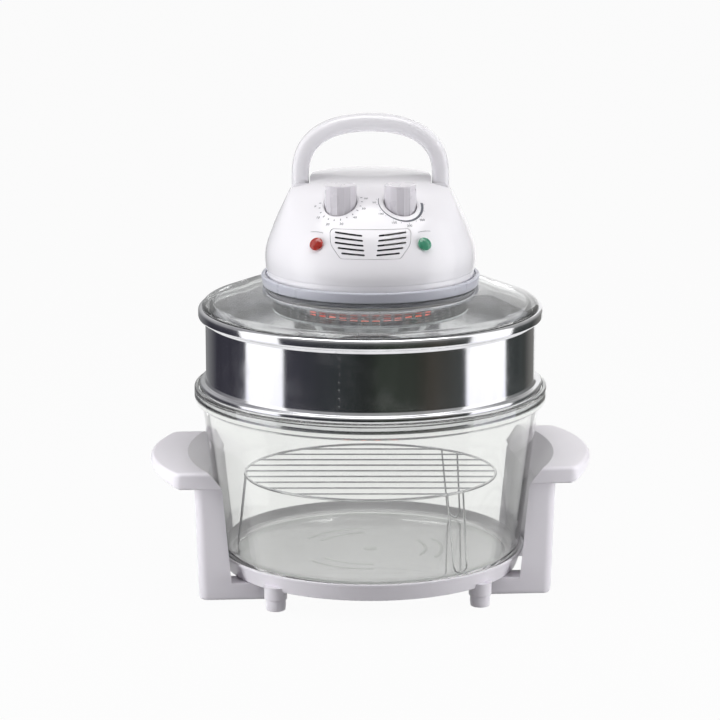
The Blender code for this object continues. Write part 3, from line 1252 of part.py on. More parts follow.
def lamp(name, side, finish_name):
    """A lens with a bulging face, and the holder that clips on behind it."""
    spot, look = lamp_place(side)
    rise = LAMP_PROUD + LAMP_FLANGE
    lens = turned(f"{name}_lens", (
        (0, rise, 0), (LAMP_RADIUS * 0.55, LAMP_FLANGE + LAMP_PROUD * 0.8, 0),
        (LAMP_RADIUS * 0.9, LAMP_FLANGE + LAMP_PROUD * 0.3, 0), (LAMP_RADIUS, LAMP_FLANGE / 2, 0),
        (LAMP_RADIUS, 0, 0), (LAMP_STEM_RADIUS, 0, 0), (LAMP_STEM_RADIUS, -LAMP_STEM_LENGTH, 0),
        (0, -LAMP_STEM_LENGTH, 0)), finish_name, segments=TINY_SEGMENTS * 3 // 2)
    seat = spot + look * (LAMP_FLANGE + SEAT_GAP)
    aimed(lens, seat, look)
    top = -LAMP_STEM_LENGTH - SEAT_GAP
    holder = disc(f"{name}_holder", LAMP_HOLDER_RADIUS, top - LAMP_HOLDER_LENGTH, top, "black",
                  segments=TINY_SEGMENTS * 3 // 2, edge=LAMP_FLANGE / 2)
    aimed(holder, seat, look)


def heater_guard():
    """The pressed guard round the heater: a slotted wall, a flange, and a dish with a grille."""
    inner = GUARD_RADIUS - GUARD_SHEET
    dish_floor = GUARD_FLOOR - GUARD_DISH_DEPTH
    bend = GUARD_SHEET * 2
    corners = (
        (inner, GUARD_TOP, 0), (GUARD_RADIUS, GUARD_TOP, 0),
        (GUARD_RADIUS, GUARD_FLOOR + 2 * GUARD_LIP, 0),
        (GUARD_RADIUS + GUARD_LIP, GUARD_FLOOR + GUARD_LIP, 0),
        (GUARD_RADIUS, GUARD_FLOOR, 0),
        (GUARD_DISH_RADIUS, GUARD_FLOOR, 0),
        (GUARD_DISH_FOOT_RADIUS, dish_floor, bend * 2),
        (0, dish_floor, 0),
        (0, dish_floor + GUARD_SHEET, 0),
        (GUARD_DISH_FOOT_RADIUS - GUARD_SHEET, dish_floor + GUARD_SHEET, bend),
        (GUARD_DISH_RADIUS - GUARD_SHEET, GUARD_FLOOR + GUARD_SHEET, 0),
        (inner, GUARD_FLOOR + GUARD_SHEET, 0),
    )
    outline = rounded_outline(corners, 1)
    axis_at = next(index for index, point in enumerate(outline) if point.x == 0.0)
    ordered = outline[axis_at + 1:] + outline[:axis_at + 1]
    guard = turned("heater_guard", [(point.x, point.y, 0) for point in ordered], "dark_steel",
                   segments=GUARD_WALL_SLOTS)
    middle = GUARD_FLOOR + 2 * GUARD_LIP + GUARD_SLOT_LIFT + GUARD_SLOT_HEIGHT / 2
    for index in range(GUARD_WALL_SLOTS):
        turn = Matrix.Rotation(2 * math.pi * (index + 0.5) / GUARD_WALL_SLOTS, 4, "Z")
        cut(guard, block("wall_slot",
                         (inner - OVERRUN, -GUARD_SLOT_WIDTH / 2, middle - GUARD_SLOT_HEIGHT / 2),
                         (GUARD_RADIUS + OVERRUN, GUARD_SLOT_WIDTH / 2, middle + GUARD_SLOT_HEIGHT / 2),
                         turn=turn))
    for index in range(GUARD_GRILLE_SLOTS):
        turn = Matrix.Rotation(2 * math.pi * (index + 0.5) / GUARD_GRILLE_SLOTS, 4, "Z")
        cut(guard, block("grille_slot",
                         (GUARD_GRILLE_INNER, -GUARD_GRILLE_SLOT_WIDTH / 2, dish_floor - OVERRUN),
                         (GUARD_GRILLE_OUTER, GUARD_GRILLE_SLOT_WIDTH / 2, dish_floor + OVERRUN),
                         turn=turn))
    return shade(guard)


def reflector_plate():
    """The bright disc above the fan, with a hole for the shaft."""
    corners = ((REFLECTOR_HOLE, REFLECTOR_TOP, 0), (REFLECTOR_RADIUS, REFLECTOR_TOP, 0),
               (REFLECTOR_RADIUS, REFLECTOR_BOTTOM, 0), (REFLECTOR_HOLE, REFLECTOR_BOTTOM, 0))
    return turned("reflector_plate", corners, "steel", segments=INNER_SEGMENTS)


def halogen_tube():
    """The heating tube: a ring open at the back, whose ends turn up into their holders."""
    half_gap = TUBE_GAP_ANGLE / 2
    points = []
    for step in range(25):
        angle = 90.0 + half_gap + (360.0 - TUBE_GAP_ANGLE) * step / 24
        points.append(around(angle) * TUBE_RING_RADIUS + Vector((0, 0, TUBE_CENTRE_Z)))
    for end, order in ((points[0], 0), (points[-1], 1)):
        inward = Vector((math.copysign(TUBE_RADIUS * 1.6, -end.x), 0, 0))
        riser = [end + inward + Vector((0, 0, TUBE_RADIUS * 0.5)),
                 end + inward * 1.5 + Vector((0, 0, TUBE_RADIUS * 1.1)),
                 end + inward * 1.5 + Vector((0, 0, TUBE_RISE))]
        points = list(reversed(riser)) + points if order == 0 else points + riser
    return wire("halogen_tube", points, TUBE_RADIUS, finish_name="hot_tube")


def tube_holders():
    """Two ceramic blocks under the reflector that grip the tube's ends."""
    top = REFLECTOR_BOTTOM - SEAT_GAP
    end = around(90.0 + TUBE_GAP_ANGLE / 2) * TUBE_RING_RADIUS
    back = end.y
    for word, side in (("left", -1), ("right", 1)):
        middle = side * (abs(end.x) - TUBE_RADIUS * 2.4)
        holder = block(f"{word}_tube_holder", (middle - HOLDER_WIDTH / 2, back - TUBE_RADIUS - SEAT_GAP * 4,
                                               top - HOLDER_HEIGHT),
                       (middle + HOLDER_WIDTH / 2, back - TUBE_RADIUS - SEAT_GAP * 4 + HOLDER_DEPTH, top),
                       "ceramic", edge=SEAT_GAP * 2)
        cut(holder, disc("tube_bore", TUBE_RADIUS + SEAT_GAP, TUBE_CENTRE_Z,
                         TUBE_CENTRE_Z + TUBE_RISE + SEAT_GAP, segments=TINY_SEGMENTS,
                         centre=(middle, back)))


def motor_plate():
    """The steel plate that stands on the collar's deck and carries the motor."""
    corners = ((MOTOR_PLATE_HOLE, MOTOR_PLATE_TOP, 0), (MOTOR_PLATE_RADIUS, MOTOR_PLATE_TOP, 0),
               (MOTOR_PLATE_RADIUS, HOUSING_BOTTOM, 0), (MOTOR_PLATE_HOLE, HOUSING_BOTTOM, 0))
    return turned("motor_plate", corners, "steel", segments=INNER_SEGMENTS)


def motor():
    """The motor can, with its bearing cap and the bore that the shaft runs in."""
    top = MOTOR_BOTTOM + MOTOR_HEIGHT
    cap = top + MOTOR_CAP_HEIGHT
    bore = SHAFT_RADIUS + SEAT_GAP
    corners = ((bore, cap, 0), (MOTOR_CAP_RADIUS, cap, 0), (MOTOR_CAP_RADIUS, top, 0),
               (MOTOR_RADIUS, top, MOTOR_EDGE), (MOTOR_RADIUS, MOTOR_BOTTOM, MOTOR_EDGE),
               (bore, MOTOR_BOTTOM, 0))
    return turned("motor", corners, "dark_steel", segments=SMALL_SEGMENTS, steps=2)


def bladed(made, count, inner, outer, low, high, pitch):
    """Joins blades to a hub or a disc: flat plates set round the axis and pitched."""
    for index in range(count):
        turn = (Matrix.Rotation(2 * math.pi * index / count, 4, "Z")
                @ Matrix.Translation(((inner + outer) / 2, 0, (low + high) / 2))
                @ Matrix.Rotation(math.radians(pitch), 4, "X"))
        half = (outer - inner) / 2
        rise = (high - low) / 2
        join(made, block("blade", (-half, -BLADE_THICKNESS / 2, -rise), (half, BLADE_THICKNESS / 2, rise),
                         turn=turn))
    return made


def rotor():
    """The shaft, the fan under the reflector, its nut, and the fan that cools the motor."""
    disc("motor_shaft", SHAFT_RADIUS, SHAFT_BOTTOM, SHAFT_TOP, "steel", segments=TINY_SEGMENTS * 3 // 2)
    bore = SHAFT_RADIUS + SEAT_GAP
    disc_bottom = CIRCULATION_FAN_TOP - CIRCULATION_DISC
    blade_bottom = CIRCULATION_FAN_BOTTOM
    fan = turned("circulation_fan", (
        (bore, CIRCULATION_FAN_TOP, 0), (CIRCULATION_FAN_RADIUS, CIRCULATION_FAN_TOP, 0),
        (CIRCULATION_FAN_RADIUS, disc_bottom, 0), (CIRCULATION_HUB_RADIUS, disc_bottom, 0),
        (CIRCULATION_HUB_RADIUS, blade_bottom, 0), (bore, blade_bottom, 0)),
        "steel", segments=SMALL_SEGMENTS)
    bladed(fan, CIRCULATION_BLADES, CIRCULATION_HUB_RADIUS * 1.8, CIRCULATION_FAN_RADIUS * 0.98,
           blade_bottom, disc_bottom + CIRCULATION_DISC / 2, 0.0)
    shade(fan)
    nut = disc("fan_nut", NUT_RADIUS, NUT_TOP - NUT_HEIGHT, NUT_TOP, "steel", segments=6)
    cut(nut, disc("nut_bore", bore, 0, HANDLE_TOP))
    cooling_top = COOLING_FAN_BOTTOM + COOLING_FAN_HEIGHT
    cooling = turned("cooling_fan", (
        (bore, cooling_top, 0), (COOLING_HUB_RADIUS, cooling_top, 0),
        (COOLING_HUB_RADIUS, COOLING_FAN_BOTTOM, 0), (bore, COOLING_FAN_BOTTOM, 0)),
        "black", segments=SMALL_SEGMENTS)
    bladed(cooling, COOLING_BLADES, COOLING_HUB_RADIUS * 0.9, COOLING_FAN_RADIUS,
           COOLING_FAN_BOTTOM, cooling_top, 35.0)
    shade(cooling)


def control_bracket():
    """The folded sheet that holds the timer and the thermostat over the motor plate."""
    low = BRACKET_TOP - BRACKET_SHEET
    bracket = block("control_bracket", (-BRACKET_HALF_WIDTH, -BRACKET_FRONT_Y, low),
                    (BRACKET_HALF_WIDTH, -BRACKET_BACK_Y, BRACKET_TOP), "steel")
    middle = -(BRACKET_FRONT_Y + BRACKET_BACK_Y) / 2
    for side in (-1, 1):
        near, far = sorted((side * BRACKET_HALF_WIDTH, side * (BRACKET_HALF_WIDTH + BRACKET_SHEET)))
        join(bracket, block("leg", (near, middle - BRACKET_LEG_HALF_DEPTH, MOTOR_BOTTOM),
                            (far, middle + BRACKET_LEG_HALF_DEPTH, BRACKET_TOP)))
        join(bracket, block("leg_weld", (min(near, side * (BRACKET_HALF_WIDTH - BRACKET_SHEET)),
                                         middle - BRACKET_LEG_HALF_DEPTH, low),
                            (max(far, side * (BRACKET_HALF_WIDTH - BRACKET_SHEET)),
                             middle + BRACKET_LEG_HALF_DEPTH, BRACKET_TOP)))
        cut(bracket, disc("neck_hole", CONTROL_NECK_RADIUS + SEAT_GAP, low - OVERRUN,
                          BRACKET_TOP + OVERRUN, segments=TINY_SEGMENTS * 3 // 2, centre=(side * KNOB_X, -KNOB_Y)))
    return bracket


def control_neck(made, side, body_top):
    """Adds the threaded neck over a control's body, and bores it for the shaft."""
    spot = (side * KNOB_X, -KNOB_Y)
    top = BRACKET_TOP + CONTROL_NECK_HEIGHT
    join(made, disc("neck", CONTROL_NECK_RADIUS, body_top - BRACKET_SHEET, top, segments=TINY_SEGMENTS * 3 // 2, centre=spot))
    shaft_bottom = KNOB_TOP - KNOB_ROOF - KNOB_SHAFT_LENGTH
    return cut(made, disc("shaft_bore", KNOB_SHAFT_RADIUS + SEAT_GAP, shaft_bottom - SEAT_GAP,
                          top + OVERRUN, centre=spot))


def controls():
    """The timer behind the left knob, and the thermostat behind the right one."""
    body_top = BRACKET_TOP - BRACKET_SHEET - SEAT_GAP
    timer = disc("timer", TIMER_RADIUS, body_top - TIMER_HEIGHT, body_top, "black",
                 centre=(-KNOB_X, -KNOB_Y), edge=BRACKET_SHEET / 2)
    control_neck(timer, -1, body_top)
    thermostat = block("thermostat", (KNOB_X - THERMOSTAT_WIDTH / 2, -KNOB_Y - THERMOSTAT_DEPTH / 2,
                                      body_top - THERMOSTAT_HEIGHT),
                       (KNOB_X + THERMOSTAT_WIDTH / 2, -KNOB_Y + THERMOSTAT_DEPTH / 2, body_top),
                       "ceramic", edge=BRACKET_SHEET / 2)
    control_neck(thermostat, 1, body_top)


def knob(name, side):
    """A fluted cap on an upright shaft: hollow below, with a boss for the shaft."""
    points = 2 * KNOB_FLUTES
    built = bmesh.new()
    levels = ((KNOB_TOP - KNOB_HEIGHT, 0), (KNOB_TOP - KNOB_EDGE, 0), (KNOB_TOP, KNOB_EDGE))
    rings = []
    for up, drawn_in in levels:
        ring = []
        for index in range(points):
            depth = KNOB_FLUTE_DEPTH if index % 2 == 0 else 0
            spot = around(360.0 * index / points) * (KNOB_RADIUS - depth - drawn_in)
            ring.append(built.verts.new(spot + Vector((0, 0, up))))
        rings.append(ring)
    for low, high in zip(rings, rings[1:]):
        for index in range(points):
            following = (index + 1) % points
            built.faces.new((low[index], low[following], high[following], high[index]))
    built.faces.new(list(reversed(rings[0])))
    built.faces.new(rings[-1])
    made = place(name, mesh_of(built, name), "grey", smooth=False)
    bottom = KNOB_TOP - KNOB_HEIGHT
    roof = KNOB_TOP - KNOB_ROOF
    hollow = turned("knob_hollow", (
        (KNOB_BOSS_RADIUS, roof, 0), (KNOB_RADIUS - KNOB_WALL, roof, 0),
        (KNOB_RADIUS - KNOB_WALL, bottom - OVERRUN, 0), (KNOB_BOSS_RADIUS, bottom - OVERRUN, 0)),
        segments=SMALL_SEGMENTS)
    cut(made, hollow)
    boss_bottom = BRACKET_TOP + CONTROL_NECK_HEIGHT + RUNNING_GAP
    cut(made, disc("boss_trim", KNOB_BOSS_RADIUS + KNOB_WALL, bottom - OVERRUN, boss_bottom,
                   segments=TINY_SEGMENTS * 3 // 2))
    cut(made, disc("knob_bore", KNOB_SHAFT_RADIUS + SEAT_GAP, bottom - OVERRUN, roof + SEAT_GAP,
                   segments=TINY_SEGMENTS))
    half = KNOB_MARK_WIDTH / 2
    front = KNOB_RADIUS - KNOB_EDGE - KNOB_WALL / 2
    join(made, block("mark", (-half, -front, KNOB_TOP - KNOB_MARK_HEIGHT),
                     (half, -front + KNOB_MARK_LENGTH, KNOB_TOP + KNOB_MARK_HEIGHT)))
    made.data.transform(Matrix.Translation((side * KNOB_X, -KNOB_Y, 0)))
    return shade(made)


def knobs():
    for word, side in (("timer", -1), ("thermostat", 1)):
        knob(f"{word}_knob", side)
        top = KNOB_TOP - KNOB_ROOF
        disc(f"{word}_shaft", KNOB_SHAFT_RADIUS, top - KNOB_SHAFT_LENGTH, top, "steel",
             segments=TINY_SEGMENTS, centre=(side * KNOB_X, -KNOB_Y))


def handle_path():
    """The handle's centre line: a straight leg, a flattened arch, and a straight leg."""
    half = (HANDLE_OUTER_HALF + HANDLE_INNER_HALF) / 2
    rise = HANDLE_TOP - HANDLE_TOP_THICKNESS / 2 - HANDLE_SPRING_Z
    path = [(-half, HANDLE_PIVOT_Z)]
    for step in range(HANDLE_ARCH_STEPS + 1):
        angle = math.pi * step / HANDLE_ARCH_STEPS
        power = 2 / HANDLE_ARCH_POWER
        across = math.copysign(abs(math.cos(angle)) ** power, -math.cos(angle)) * half
        path.append((across, HANDLE_SPRING_Z + rise * math.sin(angle) ** power))
    path.append((half, HANDLE_PIVOT_Z))
    return path


def carry_handle():
    """The arched handle: an oval bar with two round feet that turn on the pivot pins."""
    path = [Vector((across, HANDLE_PIVOT_Y, up)) for across, up in handle_path()]
    leg = HANDLE_OUTER_HALF - HANDLE_INNER_HALF
    oval = 10
    built = bmesh.new()
    rings = []
    for index, spot in enumerate(path):
        before = path[max(index - 1, 0)]
        after = path[min(index + 1, len(path) - 1)]
        along = (after - before).normalized()
        outward = along.cross(Vector((0, 1, 0))).normalized()
        share = max((spot.z - HANDLE_SPRING_Z) / (HANDLE_TOP - HANDLE_SPRING_Z), 0)
        thickness = leg + (HANDLE_TOP_THICKNESS - leg) * share
        ring = []
        for step in range(oval):
            angle = 2 * math.pi * step / oval
            across = math.copysign(abs(math.cos(angle)) ** 0.75, math.cos(angle)) * thickness / 2
            deep = math.copysign(abs(math.sin(angle)) ** 0.75, math.sin(angle)) * HANDLE_DEPTH / 2
            ring.append(built.verts.new(spot + outward * across + Vector((0, deep, 0))))
        rings.append(ring)
    for low, high in zip(rings, rings[1:]):
        for step in range(oval):
            following = (step + 1) % oval
            built.faces.new((low[step], low[following], high[following], high[step]))
    built.faces.new(list(reversed(rings[0])))
    built.faces.new(rings[-1])
    handle = place("carry_handle", mesh_of(built, "carry_handle"), "white", smooth=False)
    for side in (-1, 1):
        join(handle, rod("handle_foot", HANDLE_FOOT_RADIUS,
                         (side * HANDLE_INNER_HALF, HANDLE_PIVOT_Y, HANDLE_PIVOT_Z),
                         (side * HANDLE_OUTER_HALF, HANDLE_PIVOT_Y, HANDLE_PIVOT_Z)))
        cut(handle, rod("pin_bore", PIN_RADIUS + SEAT_GAP,
                        (side * (HANDLE_INNER_HALF - OVERRUN), HANDLE_PIVOT_Y, HANDLE_PIVOT_Z),
                        (side * (SLOT_INNER_X + PIN_REACH + RUNNING_GAP), HANDLE_PIVOT_Y, HANDLE_PIVOT_Z),
                        segments=TINY_SEGMENTS))
    return shade(handle)


def pivot_pins():
    """The two headed pins, put in from inside the head, that the handle turns on."""
    for word, side in (("left", -1), ("right", 1)):
        wall = SLOT_INNER_X - HOUSING_WALL - SEAT_GAP
        centre = (HANDLE_PIVOT_Y, HANDLE_PIVOT_Z)
        pin = rod(f"{word}_pivot_pin", PIN_RADIUS, (side * (wall - PIN_HEAD_LENGTH / 2), *centre),
                  (side * (SLOT_INNER_X + PIN_REACH), *centre), "steel", segments=TINY_SEGMENTS)
        join(pin, rod("pin_head", PIN_HEAD_RADIUS, (side * (wall - PIN_HEAD_LENGTH), *centre),
                      (side * wall, *centre), segments=TINY_SEGMENTS))


def electrics():
    """The terminal block, the thermal cut-out, the handle's safety switch and the cord gland."""
    block("terminal_block", (-TERMINAL_WIDTH / 2, TERMINAL_Y - TERMINAL_DEPTH / 2, MOTOR_BOTTOM),
          (TERMINAL_WIDTH / 2, TERMINAL_Y + TERMINAL_DEPTH / 2, MOTOR_BOTTOM + TERMINAL_HEIGHT),
          "black", edge=BRACKET_SHEET / 2)
    cutout = around(CUTOUT_ANGLE) * CUTOUT_RING
    disc("thermal_cutout", CUTOUT_RADIUS, MOTOR_BOTTOM, MOTOR_BOTTOM + CUTOUT_HEIGHT, "ceramic",
         segments=TINY_SEGMENTS * 3 // 2, centre=cutout.xy, edge=BRACKET_SHEET / 2)
    side = SLOT_INNER_X - HOUSING_WALL - SEAT_GAP
    top = HANDLE_PIVOT_Z - PIN_HEAD_RADIUS - SEAT_GAP
    block("safety_switch", (side - SWITCH_WIDTH, HANDLE_PIVOT_Y - SWITCH_DEPTH / 2, top - SWITCH_HEIGHT),
          (side, HANDLE_PIVOT_Y + SWITCH_DEPTH / 2, top), "black", edge=BRACKET_SHEET / 3)
    radius, height = gland_place()
    gland = rod("cord_gland", GLAND_RADIUS, (0, radius - GLAND_LENGTH, height), (0, radius, height),
                "black", segments=TINY_SEGMENTS * 3 // 2)
    face = radius + SEAT_GAP
    join(gland, rod("gland_neck", GLAND_RADIUS, (0, radius - GLAND_FLANGE, height),
                    (0, face + GLAND_FLANGE, height), segments=TINY_SEGMENTS * 3 // 2))
    join(gland, rod("gland_flange", GLAND_FLANGE_RADIUS, (0, face, height),
                    (0, face + GLAND_FLANGE, height), segments=TINY_SEGMENTS * 3 // 2, end_radius=GLAND_RADIUS))
    cut(gland, rod("gland_bore", GLAND_BORE, (0, radius - GLAND_LENGTH - OVERRUN, height),
                   (0, face + GLAND_FLANGE + OVERRUN, height), segments=TINY_SEGMENTS))


def lid_screws():
    """Four screws that hold the housing to the collar, and four that hold the clamp ring."""
    deck_bottom = COLLAR_DECK_Z - COLLAR_DECK
    for number, angle in enumerate(LID_SCREW_ANGLES, start=1):
        spot = around(angle) * HOUSING_SCREW_RING
        head = deck_bottom - SEAT_GAP - SCREW_HEAD_HEIGHT
        bolt(f"housing_screw_{number}", head, spot.xy, SCREW_HEAD_HEIGHT,
             HOUSING_BOTTOM + HOUSING_SCREW_BITE, SCREW_RADIUS, SCREW_HEAD_RADIUS)
        spot = around(angle) * CLAMP_SCREW_RING
        head = CLAMP_BOTTOM - SEAT_GAP - CLAMP_SCREW_HEAD_HEIGHT
        bolt(f"clamp_screw_{number}", head, spot.xy, CLAMP_SCREW_HEAD_HEIGHT,
             CLAMP_TOP + CLAMP_SCREW_BITE, CLAMP_SCREW_RADIUS, CLAMP_SCREW_HEAD)


def gather(name, spot, *members):
    """An empty on a body's joint axis, which carries the body's pieces."""
    holder = bpy.data.objects.new(name, None)
    holder.empty_display_size = FOOT_RADIUS
    holder.location = spot
    parts.objects.link(holder)
    for member in members:
        piece = parts.objects[member]
        piece.parent = holder
        piece.location = -Vector(spot)
    return holder


STAND_PIECES = ["base_tray", "left_handle_frame", "right_handle_frame"]
for END in ("front", "rear"):
    for SIDE in ("left", "right"):
        STAND_PIECES += [f"{END}_{SIDE}_foot", f"{END}_{SIDE}_frame_screw"]

LID_PIECES = (
    "glass_lid", "lid_gasket", "collar", "clamp_ring", "clamp_screw_1", "clamp_screw_2",
    "clamp_screw_3", "clamp_screw_4", "housing", "vent_grille", "housing_screw_1",
    "housing_screw_2", "housing_screw_3", "housing_screw_4", "power_lamp_lens",
    "power_lamp_holder", "heat_lamp_lens", "heat_lamp_holder", "heater_guard",
    "reflector_plate", "halogen_tube", "left_tube_holder", "right_tube_holder", "motor_plate",
    "motor", "control_bracket", "timer", "thermostat", "left_pivot_pin", "right_pivot_pin",
    "terminal_block", "thermal_cutout", "safety_switch", "cord_gland",
)


def assemble():
    """Hangs each body's pieces on an empty on its joint axis; the stand is turned under the bowl."""
    base = gather("stand_axis", (0, 0, 0), *STAND_PIECES)
    base.rotation_euler.z = math.radians(STAND_TURN)
    gather("bowl_axis", (0, 0, BOWL_BOTTOM), "glass_bowl")
    gather("rack_axis", (0, 0, RACK_CENTRE_Z), "wire_rack")
    gather("ring_axis", (0, 0, RING_FOOT), "extender_ring")
    gather("lid_axis", (0, 0, LID_RIM), *LID_PIECES)
    gather("handle_axis", (0, HANDLE_PIVOT_Y, HANDLE_PIVOT_Z), "carry_handle")
    gather("timer_axis", (-KNOB_X, -KNOB_Y, KNOB_TOP), "timer_knob", "timer_shaft")
    gather("thermostat_axis", (KNOB_X, -KNOB_Y, KNOB_TOP), "thermostat_knob", "thermostat_shaft")
    gather("fan_axis", (0, 0, SHAFT_TOP), "motor_shaft", "circulation_fan", "fan_nut", "cooling_fan")


stand()
glass_bowl()
wire_rack()
extender_ring()
glass_lid()
collar()
clamp_ring()
lid_gasket()
housing()
vent_grille()
lamp("power_lamp", -1, "red")
lamp("heat_lamp", 1, "green")
heater_guard()
reflector_plate()
halogen_tube()
tube_holders()
motor_plate()
motor()
rotor()
control_bracket()
controls()
knobs()
carry_handle()
pivot_pins()
electrics()
lid_screws()
assemble()
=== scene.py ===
import math

import bmesh
import bpy
import numpy as np
from mathutils import Matrix, Vector
from mathutils.bvhtree import BVHTree


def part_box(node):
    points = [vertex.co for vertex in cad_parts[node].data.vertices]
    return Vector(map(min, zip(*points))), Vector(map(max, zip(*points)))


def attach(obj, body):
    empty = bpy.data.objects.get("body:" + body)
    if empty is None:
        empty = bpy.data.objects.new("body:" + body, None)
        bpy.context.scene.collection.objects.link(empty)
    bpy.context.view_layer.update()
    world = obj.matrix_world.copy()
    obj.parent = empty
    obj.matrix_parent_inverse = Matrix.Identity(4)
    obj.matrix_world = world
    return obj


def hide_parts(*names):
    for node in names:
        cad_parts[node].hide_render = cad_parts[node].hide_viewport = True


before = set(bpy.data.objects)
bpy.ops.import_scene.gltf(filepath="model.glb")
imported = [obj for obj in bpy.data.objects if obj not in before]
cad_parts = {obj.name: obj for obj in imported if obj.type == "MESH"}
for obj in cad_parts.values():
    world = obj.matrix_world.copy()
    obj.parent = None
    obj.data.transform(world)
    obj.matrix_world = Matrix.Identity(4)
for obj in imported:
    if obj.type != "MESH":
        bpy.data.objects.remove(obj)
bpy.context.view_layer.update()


# The studio
# The cooker stands on plain pale paper under a wide soft lamp, with a tall soft
# lamp at each side. Dark cards that only gloss can see give the steel and the
# glass their dark reflections between the two side lamps.

scene = bpy.context.scene
scene.view_settings.view_transform = "Standard"

camera_data = bpy.data.cameras.new("camera")
camera_data.sensor_width = 36.0
camera_data.lens = 146.25
camera_data.shift_x = -10.5 / 720
camera = bpy.data.objects.new("camera", camera_data)
scene.collection.objects.link(camera)
camera.location = (0, -2.797, 0.849)
camera.rotation_euler = (math.radians(90 - 12.66), 0, 0)
scene.camera = camera


def add(tree, kind, values=(), links=(), **settings):
    """One node with its settings, its socket values and the outputs that feed it"""
    node = tree.nodes.new(f"ShaderNode{kind}")
    for label, value in settings.items():
        setattr(node, label, value)
    for socket, value in values:
        node.inputs[socket].default_value = value
    for socket, source in links:
        tree.links.new(source, node.inputs[socket])
    return node


def maths(tree, operation, first, second):
    """What comes of two sockets or numbers"""
    node = add(tree, "Math", operation=operation)
    for socket, value in zip(node.inputs, (first, second)):
        if isinstance(value, float):
            socket.default_value = value
        else:
            tree.links.new(value, socket)
    return node.outputs[0]


def scaled(tree, colour, amount):
    """A colour made stronger or weaker by a value"""
    return add(tree, "VectorMath", (), ((0, colour), ("Scale", amount)), operation="SCALE").outputs[0]


def spread(tree, source, first, last, low=0.0, high=1.0):
    """A value taken from one range to another, and held inside it"""
    return add(tree, "MapRange", ((1, first), (2, last), (3, low), (4, high)), ((0, source),)).outputs[0]


def noise(tree, spot, scale, detail):
    """A cloudy value at each spot"""
    return add(tree, "TexNoise", (("Scale", scale), ("Detail", detail)), (("Vector", spot),)).outputs["Fac"]


def mixed(tree, share, first, second):
    """Two shaders, mixed by a share"""
    return add(tree, "MixShader", (), ((0, share), (1, first.outputs[0]), (2, second.outputs[0]))).outputs[0]


def seen_directly(tree):
    """1 where the eye, a reflection or a refraction meets the surface, and 0 for plain light"""
    rays = add(tree, "LightPath").outputs
    sharp = maths(tree, "MAXIMUM", rays["Is Camera Ray"], rays["Is Glossy Ray"])
    sharp = maths(tree, "MAXIMUM", sharp, rays["Is Transmission Ray"])
    return maths(tree, "MULTIPLY", sharp, maths(tree, "LESS_THAN", rays["Diffuse Depth"], 0.5))


world = bpy.data.worlds.new("studio_air")
scene.world = world
world.use_nodes = True
air = world.node_tree
air.nodes.clear()
dim = add(air, "Background", (("Color", (0.96, 0.91, 1.0, 1)), ("Strength", 0.17)))
bright = add(air, "Background", (("Color", (1, 1, 1, 1)), ("Strength", 1.0)))
add(air, "OutputWorld", (), (("Surface", mixed(air, seen_directly(air), dim, bright)),))


def bare_material(name):
    """A material without nodes, and its tree"""
    made = bpy.data.materials.new(name)
    made.use_nodes = True
    made.node_tree.nodes.clear()
    return made, made.node_tree


def object_of(name, bm):
    """An object made of a mesh in the making, which it uses up"""
    mesh = bpy.data.meshes.new(name)
    bm.to_mesh(mesh)
    bm.free()
    made = bpy.data.objects.new(name, mesh)
    scene.collection.objects.link(made)
    return made


def staged(name, bm, finish):
    """A piece of the studio, not of the cooker"""
    made = object_of(name, bm)
    made.data.materials.append(finish)
    return made


paper, tree = bare_material("floor_paper")
plain = add(tree, "BsdfDiffuse", (("Color", (0.40, 0.40, 0.40, 1)),))
glow = add(tree, "Emission", (("Strength", 1.0),))
share = maths(tree, "MULTIPLY", seen_directly(tree), 0.96)
add(tree, "OutputMaterial", (), (("Surface", mixed(tree, share, plain, glow)),))
bm = bmesh.new()
bmesh.ops.create_grid(bm, x_segments=1, y_segments=1, size=20)
bmesh.ops.translate(bm, vec=(0, 0, -0.0005), verts=bm.verts)
staged("floor", bm, paper)


def softbox(name, place, width, height, watts, colour, look_at):
    """A soft lamp that glass and the eye don't show"""
    lamp = bpy.data.lights.new(name, "AREA")
    lamp.shape = "RECTANGLE"
    lamp.size, lamp.size_y = width, height
    lamp.energy = watts
    lamp.color = colour
    made = bpy.data.objects.new(name, lamp)
    scene.collection.objects.link(made)
    made.location = place
    made.rotation_euler = (Vector(look_at) - Vector(place)).to_track_quat("-Z", "Y").to_euler()
    made.visible_camera = made.visible_transmission = False
    return made


softbox("top_lamp", (0.0, -0.12, 2.0), 2.2, 1.4, 25, (1, 0.995, 0.985), (0, 0, 0.25))
for name, place, watts in (("left_lamp", (-0.78, -0.31, 0.34), 5.5),
                           ("right_lamp", (0.80, -0.26, 0.34), 4.8)):
    side_lamp = softbox(name, place, 0.50, 0.72, watts, (0.98, 0.985, 1), (0, 0, 0.30))
    side_lamp.visible_glossy = False


def hide(made):
    """Leaves the piece to reflections alone"""
    made.visible_camera = made.visible_diffuse = made.visible_shadow = made.visible_transmission = False


def turned(degrees, axis="Z", size=3):
    """A turn about an axis through the origin"""
    return Matrix.Rotation(math.radians(degrees), size, axis)


def card(name, finish, first, last, top):
    """Part of an upright tube round the cooker that only reflections show; degrees from the front"""
    bm = bmesh.new()
    low = bm.verts.new(turned(first) @ Vector((0, -0.80, 0.003)))
    high = bm.verts.new(turned(first) @ Vector((0, -0.80, top)))
    bmesh.ops.spin(bm, geom=[low, high, bm.edges.new((low, high))], cent=(0, 0, 0), axis=(0, 0, 1),
                   angle=math.radians(last - first), steps=24, use_merge=False)
    made = staged(name, bm, finish)
    hide(made)
    return made


